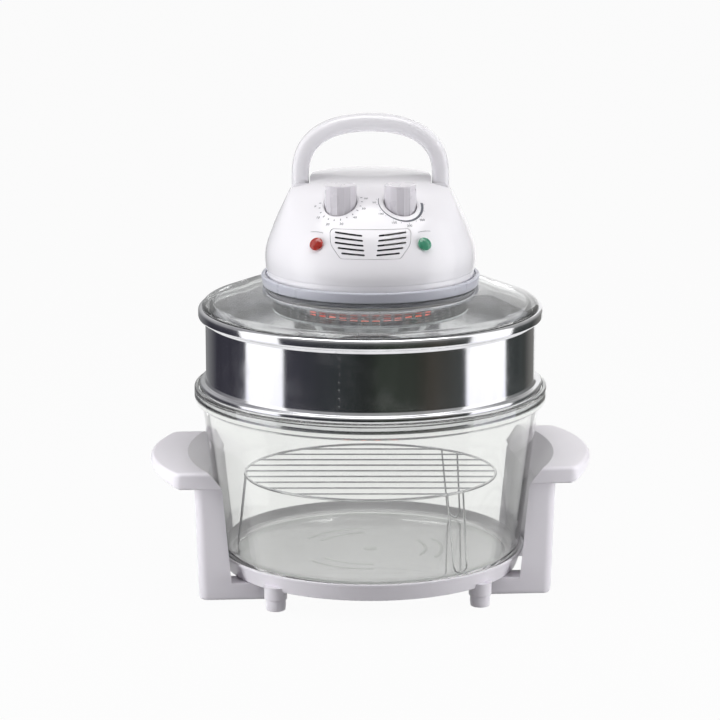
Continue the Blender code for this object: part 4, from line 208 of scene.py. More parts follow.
dark_card, tree = bare_material("dark_card")
spot = add(tree, "TexCoord").outputs["Object"]
parts = add(tree, "SeparateXYZ", (), (("Vector", spot),)).outputs
tone = add(tree, "ValToRGB", (), (("Fac", spread(tree, parts["X"], -0.8, 0.8)),))
stops = tone.color_ramp.elements
stops[0].position, stops[0].color = 0.086, (0.042, 0.041, 0.054, 1)
stops[1].position, stops[1].color = 0.94, (0.052, 0.058, 0.057, 1)
for place, colour in ((0.33, (0.031, 0.036, 0.038, 1)), (0.50, (0.018, 0.021, 0.019, 1)),
                      (0.556, (0.033, 0.041, 0.032, 1)), (0.73, (0.031, 0.036, 0.029, 1)),
                      (0.81, (0.056, 0.051, 0.042, 1))):
    stops.new(place).color = colour
stretch = add(tree, "Mapping", (("Scale", (14, 14, 0.7)),), (("Vector", spot),)).outputs[0]
folds = spread(tree, noise(tree, stretch, 1.0, 3.0), 0.3, 0.7, 0.85, 1.15)
rise = spread(tree, parts["Z"], 0.12, 0.5, 0.0, 0.32)
back = spread(tree, parts["Y"], 0.45, 0.70, 0.0, 0.20)
lifted = add(tree, "VectorMath", (), ((0, scaled(tree, tone.outputs["Color"], folds)),
                                      (1, maths(tree, "ADD", rise, back))), operation="ADD")
dark = add(tree, "Emission", (), (("Color", lifted.outputs[0]),))
add(tree, "OutputMaterial", (), (("Surface", dark.outputs[0]),))
for name, first, last in (("front_card", -56.3, 62.6), ("left_card", -172, -87.4),
                          ("right_card", 98.3, 150)):
    made = card(name, dark_card, first, last, 1.9)
    made.visible_transmission = name == "front_card"
bm = bmesh.new()
for across, along, up in ((-1.7, 0.7, 2.1), (1.7, 0.7, 2.1), (1.7, 1.5, 0.9), (-1.7, 1.5, 0.9)):
    bm.verts.new((across, along, up))
bm.faces.new(bm.verts)
hide(staged("rear_card", bm, dark_card))

bright_card, tree = bare_material("bright_card")
parts = add(tree, "SeparateXYZ", (), (("Vector", add(tree, "TexCoord").outputs["Object"]),)).outputs
tone = add(tree, "ValToRGB", (), (("Fac", spread(tree, parts["Z"], 0.02, 0.085)),))
tone.color_ramp.elements[0].color = (0.82, 0.82, 1.0, 1)
tone.color_ramp.elements[1].color = (1, 1, 1, 1)
level = maths(tree, "MULTIPLY", seen_directly(tree), 1.35)
white = add(tree, "Emission", (), (("Color", tone.outputs["Color"]), ("Strength", level)))
add(tree, "OutputMaterial", (), (("Surface", white.outputs[0]),))
card("left_glow", bright_card, -87.4, -56.3, 1.15)
card("right_glow", bright_card, 62.6, 98.3, 1.15)


# Base tray and its feet
# A shallow white moulded tray under the glass bowl, with a thin lip at its
# rim and round bosses below. Each of its four pegs is pressed into a boss.

MM = 0.001


def rounded(corners, steps=6):
    """Outline in metres from corners (across, up, fillet radius) in millimetres"""
    outline = []
    for index, corner in enumerate(corners):
        here = Vector(corner[:2]) * MM
        radius = corner[2] * MM if len(corner) > 2 else 0
        before = Vector(corners[index - 1][:2]) * MM - here
        after = Vector(corners[(index + 1) % len(corners)][:2]) * MM - here
        if radius == 0 or before.length == 0 or after.length == 0:
            outline.append(here)
            continue
        half = before.angle(after) / 2
        setback = min(radius / math.tan(half), before.length * 0.499, after.length * 0.499)
        reach = setback * math.tan(half)
        middle = here + (before.normalized() + after.normalized()).normalized() * reach / math.sin(half)
        start = here + before.normalized() * setback - middle
        turn = start.angle_signed(here + after.normalized() * setback - middle)
        for step in range(steps + 1):
            outline.append(middle + Matrix.Rotation(-turn * step / steps, 2) @ start)
    return outline


def metres(points):
    """The points, which are in millimetres, in metres"""
    return [Vector(point) * MM for point in points]


def spun(bm, outline, segments=160, centre=(0, 0), closed=True):
    """Adds the outline (across, up) in metres, turned once round an upright axis at a centre in mm"""
    there = set(bm.faces)
    x, y = Vector(centre) * MM
    verts = [bm.verts.new((x + across, y, up)) for across, up in outline]
    edges = [bm.edges.new(pair) for pair in zip(verts, verts[1:])]
    if closed:
        edges.append(bm.edges.new((verts[-1], verts[0])))
    bmesh.ops.spin(bm, geom=verts + edges, cent=(x, y, 0), axis=(0, 0, 1), angle=math.tau, steps=segments,
                   use_merge=True)
    grown = [face for face in bm.faces if face not in there]
    bmesh.ops.remove_doubles(bm, verts=list({vert for face in grown for vert in face.verts}), dist=1e-6)
    bmesh.ops.recalc_face_normals(bm, faces=[face for face in bm.faces if face not in there])


def piece(name, bm, finish, body, slot, *nodes, crease=38):
    """Makes the mesh an object with its finish, on its body, in place of the solids named"""
    made = object_of(name, bm)
    made.data.shade_smooth()
    made.data.set_sharp_from_angle(angle=math.radians(crease))
    made.data.materials.append(finish)
    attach(made, body)
    if nodes:
        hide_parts(*nodes)
    return made


def group(name, *takes):
    """A shader node group that takes a colour and the named values, and what leaves and enters it"""
    made = bpy.data.node_groups.new(name, "ShaderNodeTree")
    made.interface.new_socket("Colour", in_out="INPUT", socket_type="NodeSocketColor")
    for label in takes:
        made.interface.new_socket(label, in_out="INPUT", socket_type="NodeSocketFloat")
    for label, kind in (("Colour", "Color"), ("Roughness", "Float"), ("Height", "Float")):
        made.interface.new_socket(label, in_out="OUTPUT", socket_type=f"NodeSocket{kind}")
    return made, made.nodes.new("NodeGroupInput").outputs, made.nodes.new("NodeGroupOutput").inputs


def give(tree, given, *sources):
    """Lets a group give its colour, its roughness and its height"""
    for socket, source in zip(given, sources):
        tree.links.new(source, socket)


# Moulded surface: a cloudy tone, a fine spark-eroded grain and patches rubbed to a gloss.
moulded, taken, given = group("moulded_surface", "Roughness", "Mottle", "Grain")
spot = add(moulded, "TexCoord").outputs["Object"]
grain = add(moulded, "TexNoise", (("Detail", 2.0),), (("Vector", spot), ("Scale", taken["Grain"])))
swing = maths(moulded, "SUBTRACT", noise(moulded, spot, 11.0, 3.0), 0.5)
level = maths(moulded, "ADD", maths(moulded, "MULTIPLY", swing, taken["Mottle"]), 1.0)
gloss = spread(moulded, noise(moulded, spot, 46.0, 4.0), 0.3, 0.7, -0.05, 0.05)
give(moulded, given, scaled(moulded, taken["Colour"], level),
     maths(moulded, "ADD", taken["Roughness"], gloss), grain.outputs["Fac"])


def finish_of(name, shared, values, bump=0.0, depth=0.0002, **constants):
    """A material whose shader takes colour, roughness and a bump from a shared surface group"""
    made = bpy.data.materials.new(name)
    made.use_nodes = True
    tree = made.node_tree
    shader = tree.nodes["Principled BSDF"]
    for label, value in constants.items():
        shader.inputs[label.replace("_", " ").title().replace("Ior", "IOR")].default_value = value
    surface = tree.nodes.new("ShaderNodeGroup")
    surface.node_tree = shared
    for label, value in values.items():
        surface.inputs[label].default_value = value
    tree.links.new(surface.outputs["Colour"], shader.inputs["Base Color"])
    tree.links.new(surface.outputs["Roughness"], shader.inputs["Roughness"])
    if bump:
        relief = add(tree, "Bump", (("Strength", bump), ("Distance", depth)),
                     (("Height", surface.outputs["Height"]),))
        tree.links.new(relief.outputs["Normal"], shader.inputs["Normal"])
    return made


white_moulding = finish_of("white_moulding", moulded, {
    "Colour": (0.87, 0.845, 0.885, 1), "Roughness": 0.34, "Mottle": 0.03, "Grain": 1100.0},
    bump=0.05, coat_weight=0.12, coat_roughness=0.25)


def on_stand(name, bm, finish, slot, *nodes, crease=38):
    """A piece of the stand, which is turned a few degrees under the bowl as in the photo"""
    bmesh.ops.rotate(bm, cent=(0, 0, 0), matrix=turned(4.1), verts=bm.verts)
    return piece(name, bm, finish, "stand", slot, *nodes, crease=crease)


PEG_X, PEG_Y = 98.45, 103.02
SCREW_X, SCREW_Y = 121.95, 65.02
QUARTERS = [(f"{where}_{word}", side, end) for word, side in (("left", -1), ("right", 1))
            for where, end in (("front", -1), ("rear", 1))]
bm = bmesh.new()
spun(bm, rounded([
    (0, 26.0), (145.6, 26.0, 1.5), (149.4, 37.1, 0.5), (152.1, 37.1, 0.9), (150.9, 33.7, 0.5),
    (150.1, 33.5, 0.3), (145.1, 19.3, 0.8), (142.6, 19.3, 0.6), (144.2, 23.5, 1.0), (0, 23.5)]))
for _, side, end in QUARTERS:
    spun(bm, rounded([(4.4, 11.0), (11.0, 11.0, 0.5), (11.0, 22.5, 0.0), (11.6, 24.0), (4.4, 24.0)]),
         48, (side * PEG_X, end * PEG_Y))
    spun(bm, rounded([(2.1, 19.3), (4.5, 19.3, 0.4), (4.5, 24.0), (2.1, 24.0)]), 32,
         (side * SCREW_X, end * SCREW_Y))
for turn in range(0, 360, 15):
    rib = bmesh.ops.create_cube(bm, size=1.0)["verts"]
    bmesh.ops.scale(bm, vec=(0.052, 0.0014, 0.0026), verts=rib)
    bmesh.ops.translate(bm, vec=(0.110, 0, 0.0222), verts=rib)
    bmesh.ops.rotate(bm, cent=(0, 0, 0), matrix=turned(turn + 7.5), verts=rib)
on_stand("tray", bm, white_moulding, "white_plastic", "base_tray")

for corner, side, end in QUARTERS:
    bm = bmesh.new()
    spun(bm, rounded([
        (0, 0.9), (6.6, 0.9, 0.5), (7.2, 0, 0.3), (9.2, 0, 0.9), (9.7, 5.0, 0.0), (9.7, 10.7, 0.6),
        (4.0, 10.7, 0.0), (4.0, 17.2, 0.5), (0, 17.7)]), 64, (side * PEG_X, end * PEG_Y))
    on_stand(f"{corner}_peg", bm, white_moulding, "white_plastic", f"{corner}_foot")


# Side handles
# One hollow white moulding at each side: a broad ledge to hold, a wall that
# leans with the bowl, and two arms that run under the tray, screwed to it.

def prism(bm, outline, low, high):
    """Adds the plan outline, raised from low to high"""
    there = set(bm.faces)
    base = bm.faces.new([bm.verts.new((across, along, low)) for across, along in outline])
    grown = bmesh.ops.extrude_face_region(bm, geom=[base])
    top = [item for item in grown["geom"] if isinstance(item, bmesh.types.BMVert)]
    bmesh.ops.translate(bm, vec=(0, 0, high - low), verts=top)
    bmesh.ops.recalc_face_normals(bm, faces=[face for face in bm.faces if face not in there])


def boxed(bm, low, high):
    """Adds a plain box between two corners in millimetres"""
    low, high = metres((low, high))
    made = bmesh.ops.create_cube(bm, size=1.0)["verts"]
    bmesh.ops.scale(bm, vec=high - low, verts=made)
    bmesh.ops.translate(bm, vec=(low + high) / 2, verts=made)
    return made


def pin(bm, radius, low, high, segments, centre=(0, 0)):
    """Adds a plain upright pin, all in millimetres"""
    spun(bm, metres(((0, low), (radius, low), (radius, high), (0, high))), segments, centre)


def finished(made):
    """The mesh of an object with its modifiers; it uses the object up"""
    bpy.context.view_layer.update()
    result = bmesh.new()
    result.from_object(made, bpy.context.evaluated_depsgraph_get())
    bpy.data.meshes.remove(made.data)
    return result


def combined(bm, other, operation="DIFFERENCE", overlapping=False):
    """What a Boolean makes of two closed meshes; it uses both up"""
    kept, cutter = object_of("kept", bm), object_of("cutter", other)
    change = kept.modifiers.new("change", "BOOLEAN")
    change.operation, change.object, change.solver = operation, cutter, "EXACT"
    change.use_self = overlapping
    result = finished(kept)
    bpy.data.meshes.remove(cutter.data)
    bmesh.ops.remove_doubles(result, verts=result.verts, dist=2e-6)
    return result


def eased(bm, width, segments=3, above=40, chosen=None):
    """Rounds the edges that turn by more than an angle"""
    edges = [edge for edge in bm.edges if len(edge.link_faces) == 2
             and edge.calc_face_angle(0) > math.radians(above) and (chosen is None or chosen(edge))]
    bmesh.ops.bevel(bm, geom=edges, offset=width, offset_type="OFFSET", segments=segments, profile=0.5,
                    affect="EDGES", clamp_overlap=True, material=-1)


def arc_through(end_x, middle_x, half_length):
    """Centre and radius, in plan, of the arc through its two ends and its middle"""
    rise = middle_x - end_x
    radius = (half_length ** 2 + rise ** 2) / (2 * rise)
    return middle_x - radius, radius


def cone(bm, radius, slope, low, high, segments, centre_x):
    """Adds a cone of a radius at its foot that widens upwards, all in millimetres"""
    spun(bm, metres(((0, low), (radius, low), (radius + slope * (high - low), high), (0, high))), segments,
         (centre_x, 0))


LEDGE_TOP, LEDGE_HALF, WALL_HALF = 131.5, 85.02, 78.02


def scoop(drop):
    """The hollow in the handle's top where the fingers go in beside the bowl: a wide cone"""
    made = bmesh.new()
    low, high, steep = 60.0, 150.0, 17 / 24
    cone(made, 199.72 - steep * (LEDGE_TOP - drop - low), steep, low, high, 320, -19.70)
    return made


for word, side in (("left", -1), ("right", 1)):
    bm = bmesh.new()
    prism(bm, rounded([(91.95, -WALL_HALF), (175.5, -WALL_HALF, 9), (175.5, WALL_HALF, 9),
                       (91.95, WALL_HALF)], 10), 2 * MM, 122 * MM)
    eased(bm, 3.6 * MM, 5, chosen=lambda edge: max(v.co.z for v in edge.verts) < 3 * MM
          and max(v.co.x for v in edge.verts) > 0.0921)
    for vert in bm.verts:
        if vert.co.x > 0.160:
            vert.co.x -= 4.2 * (LEDGE_TOP * MM - vert.co.z) / 129.5
    centre, radius = arc_through(193.0, 216.3, LEDGE_HALF)
    reach = math.asin(LEDGE_HALF / radius)
    corners = [(120, -LEDGE_HALF)]
    for step in range(17):
        angle = reach * (step / 8 - 1)
        fillet = 17 if step in (0, 16) else 0
        corners.append((centre + radius * math.cos(angle), radius * math.sin(angle), fillet))
    corners.append((120, LEDGE_HALF))
    ledge = bmesh.new()
    prism(ledge, rounded(corners, 10), 111.5 * MM, LEDGE_TOP * MM)
    for vert in ledge.verts:
        if vert.co.z < 0.113:
            vert.co.z += max(vert.co.x - 0.1755, 0) * 9.0 / 40.8
    eased(ledge, 4.2 * MM, 7, chosen=lambda edge: max(v.co.x for v in edge.verts) > 0.121
          and abs(edge.verts[0].co.z - edge.verts[1].co.z) < 0.004)
    bm = combined(bm, ledge, "UNION")
    centre, top_radius = arc_through(150.02, 163.02, WALL_HALF)
    foot_radius = math.hypot(140.02 - centre, WALL_HALF)
    slope = (top_radius - foot_radius) / (LEDGE_TOP - 19.0)
    bowl_side = bmesh.new()
    cone(bowl_side, foot_radius, slope, 19.0, 140.0, 256, centre)
    bm = combined(bm, bowl_side)
    bm = combined(bm, scoop(0.0))
    hollow = bmesh.new()
    boxed(hollow, (0, -52.02, -5), (230, 52.02, 23.4))
    bm = combined(bm, hollow)
    hollow = bmesh.new()
    for vert in boxed(hollow, (0, -75.02, 22.0), (172.4, 75.02, 128.5)):
        if vert.co.x > 0.1 and vert.co.z < 0.1:
            vert.co.x = 168.95 * MM
    hollow = combined(hollow, scoop(5.19))
    lining = bmesh.new()
    cone(lining, foot_radius + 2.6 - slope * 9, slope, 10.0, 150.0, 256, centre)
    bm = combined(bm, combined(hollow, lining))
    hollow = bmesh.new()
    for end in (-1, 1):
        near, far = sorted((end * 55.02, end * 75.02))
        boxed(hollow, (94.95, near, -5), (163.8, far, 16.0))
        pin(hollow, 2.05, -6, 30, 24, (SCREW_X, end * SCREW_Y))
    bm = combined(bm, hollow, overlapping=True)
    bmesh.ops.dissolve_limit(bm, angle_limit=math.radians(0.4), verts=bm.verts, edges=bm.edges)
    eased(bm, 0.7 * MM, 2, above=48)
    if side < 0:
        bmesh.ops.scale(bm, vec=(-1, 1, 1), verts=bm.verts)
        bmesh.ops.reverse_faces(bm, faces=bm.faces)
    on_stand(f"{word}_side_handle", bm, white_moulding, "white_plastic", f"{word}_handle_frame", crease=30)


# Screws under the handles
# Four steel pan-head screws that hold the side handles to the tray from
# below. The finish of brushed metal starts here, and other parts share it.

# Brushed metal: lines drawn round the piece, faint streaks down it, and a few finger marks.
brushed, taken, given = group("brushed_metal", "Roughness", "Lines", "Streaks")
spot = add(brushed, "TexCoord").outputs["Object"]
pitch = add(brushed, "CombineXYZ", ((0, 9.0), (1, 9.0)), ((2, taken["Lines"]),))
drawn = add(brushed, "VectorMath", (), ((0, spot), (1, pitch.outputs[0])), operation="MULTIPLY")
down = add(brushed, "VectorMath", ((1, (70.0, 70.0, 3.0)),), ((0, spot),), operation="MULTIPLY")
swing = spread(brushed, noise(brushed, down.outputs[0], 1.0, 4.0), 0.3, 0.7, -1.0, 1.0)
level = maths(brushed, "ADD", maths(brushed, "MULTIPLY", swing, taken["Streaks"]), 1.0)
smear = spread(brushed, noise(brushed, spot, 24.0, 5.0), 0.52, 0.72, 0.0, 0.07)
give(brushed, given, scaled(brushed, taken["Colour"], level),
     maths(brushed, "ADD", taken["Roughness"], smear), noise(brushed, drawn.outputs[0], 1.0, 3.0))

screw_steel = finish_of("screw_steel", brushed, {
    "Colour": (0.60, 0.60, 0.62, 1), "Roughness": 0.28, "Lines": 500.0, "Streaks": 0.10},
    bump=0.05, metallic=1.0)


def cross_head(centre, seat, head, radius, tip, shank):
    """A pan head that faces down, with a cross recess, and its shank; millimetres"""
    made = bmesh.new()
    spun(made, rounded([
        (0, seat), (radius * 0.7, seat, radius * 0.25), (radius, seat + head * 0.55, 0.3),
        (radius, seat + head, 0.1), (shank, seat + head, 0.0), (shank, tip, 0.3), (0, tip)]), 40, centre)
    tool = bmesh.new()
    x, y = centre
    for wide, deep in ((radius * 0.62, radius * 0.16), (radius * 0.16, radius * 0.62)):
        boxed(tool, (x - wide, y - deep, seat - 1), (x + wide, y + deep, seat + head * 0.6))
    return combined(made, tool, overlapping=True)


for corner, side, end in QUARTERS:
    bm = cross_head((side * SCREW_X, end * SCREW_Y), 13.7, 2.0, 3.5, 24.3, 1.7)
    on_stand(f"{corner}_side_screw", bm, screw_steel, "steel", f"{corner}_frame_screw")


# Glass bowl
# A deep pressed bowl of thick clear glass with a slight green edge. Rings of
# raised lines under its floor break up the light, and its rim is rolled out.

# Glass surface: finger marks that veil and dull it, and a slow wave from the mould.
glassy, taken, given = group("glass_surface", "Clear", "Smear")
spot = add(glassy, "TexCoord").outputs["Object"]
marks = noise(glassy, spot, 17.0, 5.0)
haze = maths(glassy, "MULTIPLY", spread(glassy, marks, 0.50, 0.75), taken["Smear"])
give(glassy, given, scaled(glassy, taken["Colour"], spread(glassy, marks, 0.2, 0.8, 1.0, 0.96)),
     maths(glassy, "ADD", haze, taken["Clear"]), noise(glassy, spot, 26.0, 1.0))


def see_through(material, tint):
    """Lets light through the glass to what stands behind it, without a black shadow"""
    tree = material.node_tree
    shadow_ray = add(tree, "LightPath").outputs["Is Shadow Ray"]
    clear = add(tree, "BsdfTransparent", (("Color", tint),))
    tree.links.new(mixed(tree, shadow_ray, tree.nodes["Principled BSDF"], clear),
                   tree.nodes["Material Output"].inputs["Surface"])
    return material


def clear_glass(name, colour, tint, smear, ior, coat_weight):
    """Polished glass; a low index keeps what stands behind it in its place, and a coat keeps its gloss"""
    return see_through(finish_of(
        name, glassy, {"Colour": colour, "Clear": 0.0, "Smear": smear}, bump=0.02, depth=0.0006,
        transmission_weight=1.0, ior=ior, coat_weight=coat_weight, coat_roughness=0.02), tint)


bowl_glass = clear_glass("bowl_glass", (0.955, 0.962, 0.95, 1), (0.985, 0.99, 0.985, 1), 0.05, 1.14, 1.0)
rim_glass = clear_glass("rim_glass", (0.93, 0.94, 0.92, 1), (0.95, 0.96, 0.95, 1), 0.03, 1.44, 0.6)

bm = bmesh.new()
spun(bm, rounded([
    (0, 31.8), (142.26, 31.8, 11.25), (161.8, 193.2, 1.6), (168.6, 194.5, 0.8), (169.0, 198.3, 1.0),
    (172.5, 198.3, 1.6), (172.5, 184.3, 3.0), (165.2, 180.8, 2.4), (146.6, 26.3, 14.0), (134.0, 26.3, 1.0),
    (132.8, 26.9, 0.8), (0, 26.9)], 8), 224)
bowl = piece("bowl", bm, bowl_glass, "bowl", "glass", "glass_bowl")
bowl.data.materials.append(rim_glass)
rim_foot = 0.1815
for face in bowl.data.polygons:
    face.material_index = 1 if face.center.z > rim_foot else 0

frosted_glass = see_through(finish_of("frosted_glass", glassy, {
    "Colour": (0.93, 0.95, 0.94, 1), "Clear": 0.34, "Smear": 0.10},
    bump=0.25, depth=0.0008, transmission_weight=1.0, ior=1.46), (0.93, 0.94, 0.935, 1))


def skinned(bm, rims, closed=False):
    """Joins a run of rings of edges into a skin, and fills its ends unless it closes on itself"""
    for first, second in list(zip(rims, rims[1:])) + ([(rims[-1], rims[0])] if closed else []):
        bmesh.ops.bridge_loops(bm, edges=first + second)
    if not closed:
        for rim in (rims[0], rims[-1]):
            bmesh.ops.edgeloop_fill(bm, edges=rim)


def rim_of(ring):
    """The edges of a ring of points, each once and in a steady order"""
    return list(dict.fromkeys(edge for vert in ring for edge in vert.link_edges))


def wire(bm, points, radius, sides=10, closed=False):
    """Adds a round wire along points in millimetres, capped unless it closes on itself"""
    path = metres(points)
    across, rims = None, []
    for index, point in enumerate(path):
        before = path[index - 1] if index or closed else point
        after = path[(index + 1) % len(path)] if closed or index < len(path) - 1 else point
        along = (after - before).normalized()
        if across is None:
            across = along.orthogonal().normalized()
        across = (across - along * across.dot(along)).normalized()
        turn = Matrix((across, along.cross(across), along)).transposed().to_4x4()
        ring = bmesh.ops.create_circle(bm, cap_ends=False, segments=sides, radius=radius * MM,
                                       matrix=Matrix.Translation(point) @ turn)["verts"]
        rims.append(rim_of(ring))
    there = set(bm.faces)
    skinned(bm, rims, closed)
    bmesh.ops.recalc_face_normals(bm, faces=[face for face in bm.faces if face not in there])


def outward(degrees, reach=1.0):
    """A flat vector that points away from the axis"""
    return Vector((math.cos(math.radians(degrees)), math.sin(math.radians(degrees)))) * reach


def arc(radius, first, last, up, steps):
    """Points in millimetres on a level arc round the axis, angles in degrees"""
    return [(*outward(first + (last - first) * step / steps, radius), up) for step in range(steps + 1)]


bm = bmesh.new()
for turn in range(3):
    for radius in (55, 71):
        middle = 2 + 121.5 * turn
        wire(bm, arc(radius, middle - 28, middle + 28, 26.6, 30), 2.3, 6)
bmesh.ops.scale(bm, vec=(1, 1, 0.16), space=Matrix.Translation((0, 0, -26.6 * MM)), verts=bm.verts)
spun(bm, rounded([(0, 26.3), (7, 26.3, 0.2), (7, 26.85, 0.2), (0, 26.85)], 2), 48)
spun(bm, rounded([(121.0, 26.75), (131.5, 26.75), (131.5, 26.85), (121.0, 26.85)]), 128)
piece("bowl_floor_relief", bm, frosted_glass, "bowl", "glass")


# Wire rack
# A round roasting rack of chromed wire: a thicker ring, straight wires welded
# across it, and three long U-shaped legs, welded to the ring and splayed. It
# leans back a little, its front edge up, as it stands in the photo.

chromed = finish_of("chromed_wire", brushed, {
    "Colour": (0.66, 0.66, 0.67, 1), "Roughness": 0.10, "Lines": 300.0, "Streaks": 0.14},
    bump=0.03, metallic=1.0)

RACK_RADIUS, RACK_LEVEL, LEG_FOOT, FLOOR_TOP = 123.5, 106.3, 131.5, 31.8
bm = bmesh.new()
wire(bm, arc(RACK_RADIUS, 0, 357.5, RACK_LEVEL, 143), 1.3, 12, closed=True)
for index in range(9):
    along = (index - 4) * 24.8
    half = math.sqrt(RACK_RADIUS ** 2 - along ** 2) - 0.6
    wire(bm, [(-half + 2 * half * step / 8, along, 106.75) for step in range(9)], 0.85, 10)
half, bend = 10.25, 8.2
top_out = math.sqrt(RACK_RADIUS ** 2 - half ** 2)
bottom = FLOOR_TOP + 1.45
for angle in (180.0, -49.0, 49.0):
    out = outward(angle).to_3d()
    side_way = Vector((-out.y, out.x, 0))

    def on_leg(off_middle, up):
        """A point of the splayed leg, by its place to the side and its height"""
        reach = top_out + (LEG_FOOT - top_out) * (RACK_LEVEL - up) / (RACK_LEVEL - bottom)
        return out * reach + side_way * off_middle + Vector((0, 0, up))

    down = [(half + (bend - half) * step / 12, RACK_LEVEL + (bottom + bend - RACK_LEVEL) * step / 12)
            for step in range(13)]
    round_foot = [(bend * math.cos(math.pi * step / 16), bottom + bend * (1 - math.sin(math.pi * step / 16)))
                  for step in range(1, 16)]
    back_up = [(-off_middle, up) for off_middle, up in reversed(down)]
    wire(bm, [on_leg(*place) for place in down + round_foot + back_up], 0.95, 10)
    for sign in (1, -1):
        bead = bmesh.ops.create_uvsphere(bm, u_segments=10, v_segments=6, radius=1.75 * MM)["verts"]
        spot = out * (top_out + 0.3) + side_way * sign * half + Vector((0, 0, 106.0))
        bmesh.ops.translate(bm, vec=spot * MM, verts=bead)
lift, lean = 0.0018, 0.035
for vert in bm.verts:
    share = min(max((vert.co.z - 0.040) / 0.066, 0.0), 1.0)
    vert.co.z += share * (lift - lean * vert.co.y)
piece("rack", bm, chromed, "rack", "steel", "wire_rack", crease=60)


# Extender ring
# A band of thin stainless sheet that raises the lid: rolled from a strip and
# spot welded down one seam, with a rolled bead at the top and one at the foot.

ring_steel = finish_of("ring_steel", brushed, {
    "Colour": (0.80, 0.80, 0.82, 1), "Roughness": 0.11, "Lines": 1500.0, "Streaks": 0.05},
    bump=0.12, depth=0.00015, metallic=1.0)

bm = bmesh.new()
spun(bm, rounded([
    (159.9, 275.6, 0.5), (161.4, 276.5, 1.0), (168.0, 276.5, 4.4), (168.0, 265.7, 4.2),
    (162.6, 265.7, 1.2), (161.1, 262.6, 1.5), (161.1, 206.4, 1.5), (162.4, 203.3, 1.0),
    (167.3, 203.3, 3.4), (167.3, 194.8, 3.4), (160.8, 194.8, 0.6), (160.2, 186.0, 0.5),
    (159.0, 186.0, 0.5), (159.0, 196.2, 0.8), (159.9, 203.0, 1.0)], 8), 256)
piece("ring", bm, ring_steel, "ring", "steel", "extender_ring", crease=50)

bm = bmesh.new()
boxed(bm, (161.0, -0.35, 204.5), (161.35, 0.35, 264.5))
for level in range(7):
    spot = Matrix.Translation((161.1 * MM, 2.6 * MM, (211 + 7.8 * level) * MM)) @ turned(90, "Y", 4)
    bmesh.ops.create_cone(bm, cap_ends=True, segments=14, radius1=1.1 * MM, radius2=1.0 * MM,
                          depth=0.10 * MM, matrix=spot)
bmesh.ops.rotate(bm, cent=(0, 0, 0), matrix=turned(-90 - 11.4), verts=bm.verts)
piece("ring_seam", bm, ring_steel, "ring", "steel")


# Glass lid
# A low dome of the same clear glass, with a round hole for the head and a
# spigot at its rim that drops inside the steel ring.

lid_glass = clear_glass("lid_glass", (0.94, 0.95, 0.945, 1), (0.965, 0.97, 0.965, 1), 0.04, 1.06, 1.0)

bm = bmesh.new()
spun(bm, rounded([
    (90.0, 297.7, 0.8), (116.2, 297.7, 50.0), (162.0, 281.0, 6.0), (165.0, 276.8, 0.8),
    (159.5, 276.8, 0.4), (158.9, 275.7, 0.4), (158.9, 271.5, 0.8), (154.9, 271.5, 0.8),
    (152.65, 279.5, 5.0), (115.1, 293.2, 50.0), (90.0, 293.2, 0.8)], 14), 224)
piece("lid", bm, lid_glass, "lid", "glass", "glass_lid", crease=50)


# Collar and clamp
# The white collar sits on the glass and carries the head. Its neck goes down
# through the hole, and a steel ring with a silicone gasket pulls the glass up.

# Painted shade: the collar is white plastic, and its colour is darkened to a grey blue to stand in for the
# shade that falls on it under the head.
collar_painted_shade = finish_of("collar_painted_shade", moulded, {
    "Colour": (0.56, 0.57, 0.63, 1), "Roughness": 0.30, "Mottle": 0.03, "Grain": 1000.0},
    bump=0.05, coat_weight=0.15, coat_roughness=0.2)
silicone = finish_of("silicone", moulded, {
    "Colour": (0.70, 0.68, 0.64, 1), "Roughness": 0.6, "Mottle": 0.08, "Grain": 700.0}, bump=0.1)

SCREW_TURNS, SCREW_REACH = (45, 135, 225, 315), 86.95
bm = bmesh.new()
spun(bm, rounded([
    (102.6, 308.4, 0.5), (106.6, 308.4, 2.4), (105.0, 298.0, 1.0), (103.2, 298.0, 0.5), (103.2, 304.0, 1.0),
    (89.4, 304.0, 1.5), (89.4, 291.0, 0.8), (84.5, 291.0, 0.8), (84.5, 307.6, 0.8), (100.4, 307.6, 0.4),
    (100.4, 305.9, 0.3), (102.6, 305.9, 0.3)]), 192)
tool = bmesh.new()
for turn in SCREW_TURNS:
    pin(tool, 2.05, 302.0, 311.6, 24, outward(turn, 94.8))
    pin(tool, 1.7, 287.0, 299.0, 24, outward(turn, SCREW_REACH))
bm = combined(bm, tool)
piece("head_collar", bm, collar_painted_shade, "lid", "white_plastic", "collar")

bm = bmesh.new()
spun(bm, rounded([
    (78.0, 290.7, 0.4), (103.0, 290.7, 0.4), (103.0, 288.3, 0.4), (96.0, 288.3, 0.4), (95.0, 288.9, 0.4),
    (85.0, 288.9, 0.4), (84.0, 288.3, 0.4), (78.0, 288.3, 0.4)], 3), 128)
tool = bmesh.new()
for turn in SCREW_TURNS:
    pin(tool, 1.7, 284, 294, 24, outward(turn, SCREW_REACH))
bm = combined(bm, tool)
piece("lid_clamp", bm, ring_steel, "lid", "steel", "clamp_ring")

bm = bmesh.new()
spun(bm, rounded([
    (92.5, 292.9, 0.5), (101.5, 292.9, 0.5), (102.0, 292.0, 0.3), (101.5, 291.0, 0.5), (92.5, 291.0, 0.5),
    (92.0, 292.0, 0.3)], 3), 128)
piece("lid_seal", bm, silicone, "lid", "silicone", "lid_gasket")

for number, turn in enumerate(SCREW_TURNS, 1):
    bm = cross_head(outward(turn, SCREW_REACH), 286.5, 1.7, 2.6, 298.4, 1.4)
    piece(f"lid_clamp_screw_{number}", bm, screw_steel, "lid", "steel", f"clamp_screw_{number}")


# Head
# The glossy white moulded head: a dome whose front is sliced by a curved
# sloping face that carries the knobs, lamps and grille, with a soft crease
# where the two meet. It has two pockets for the handle and vents at the back.

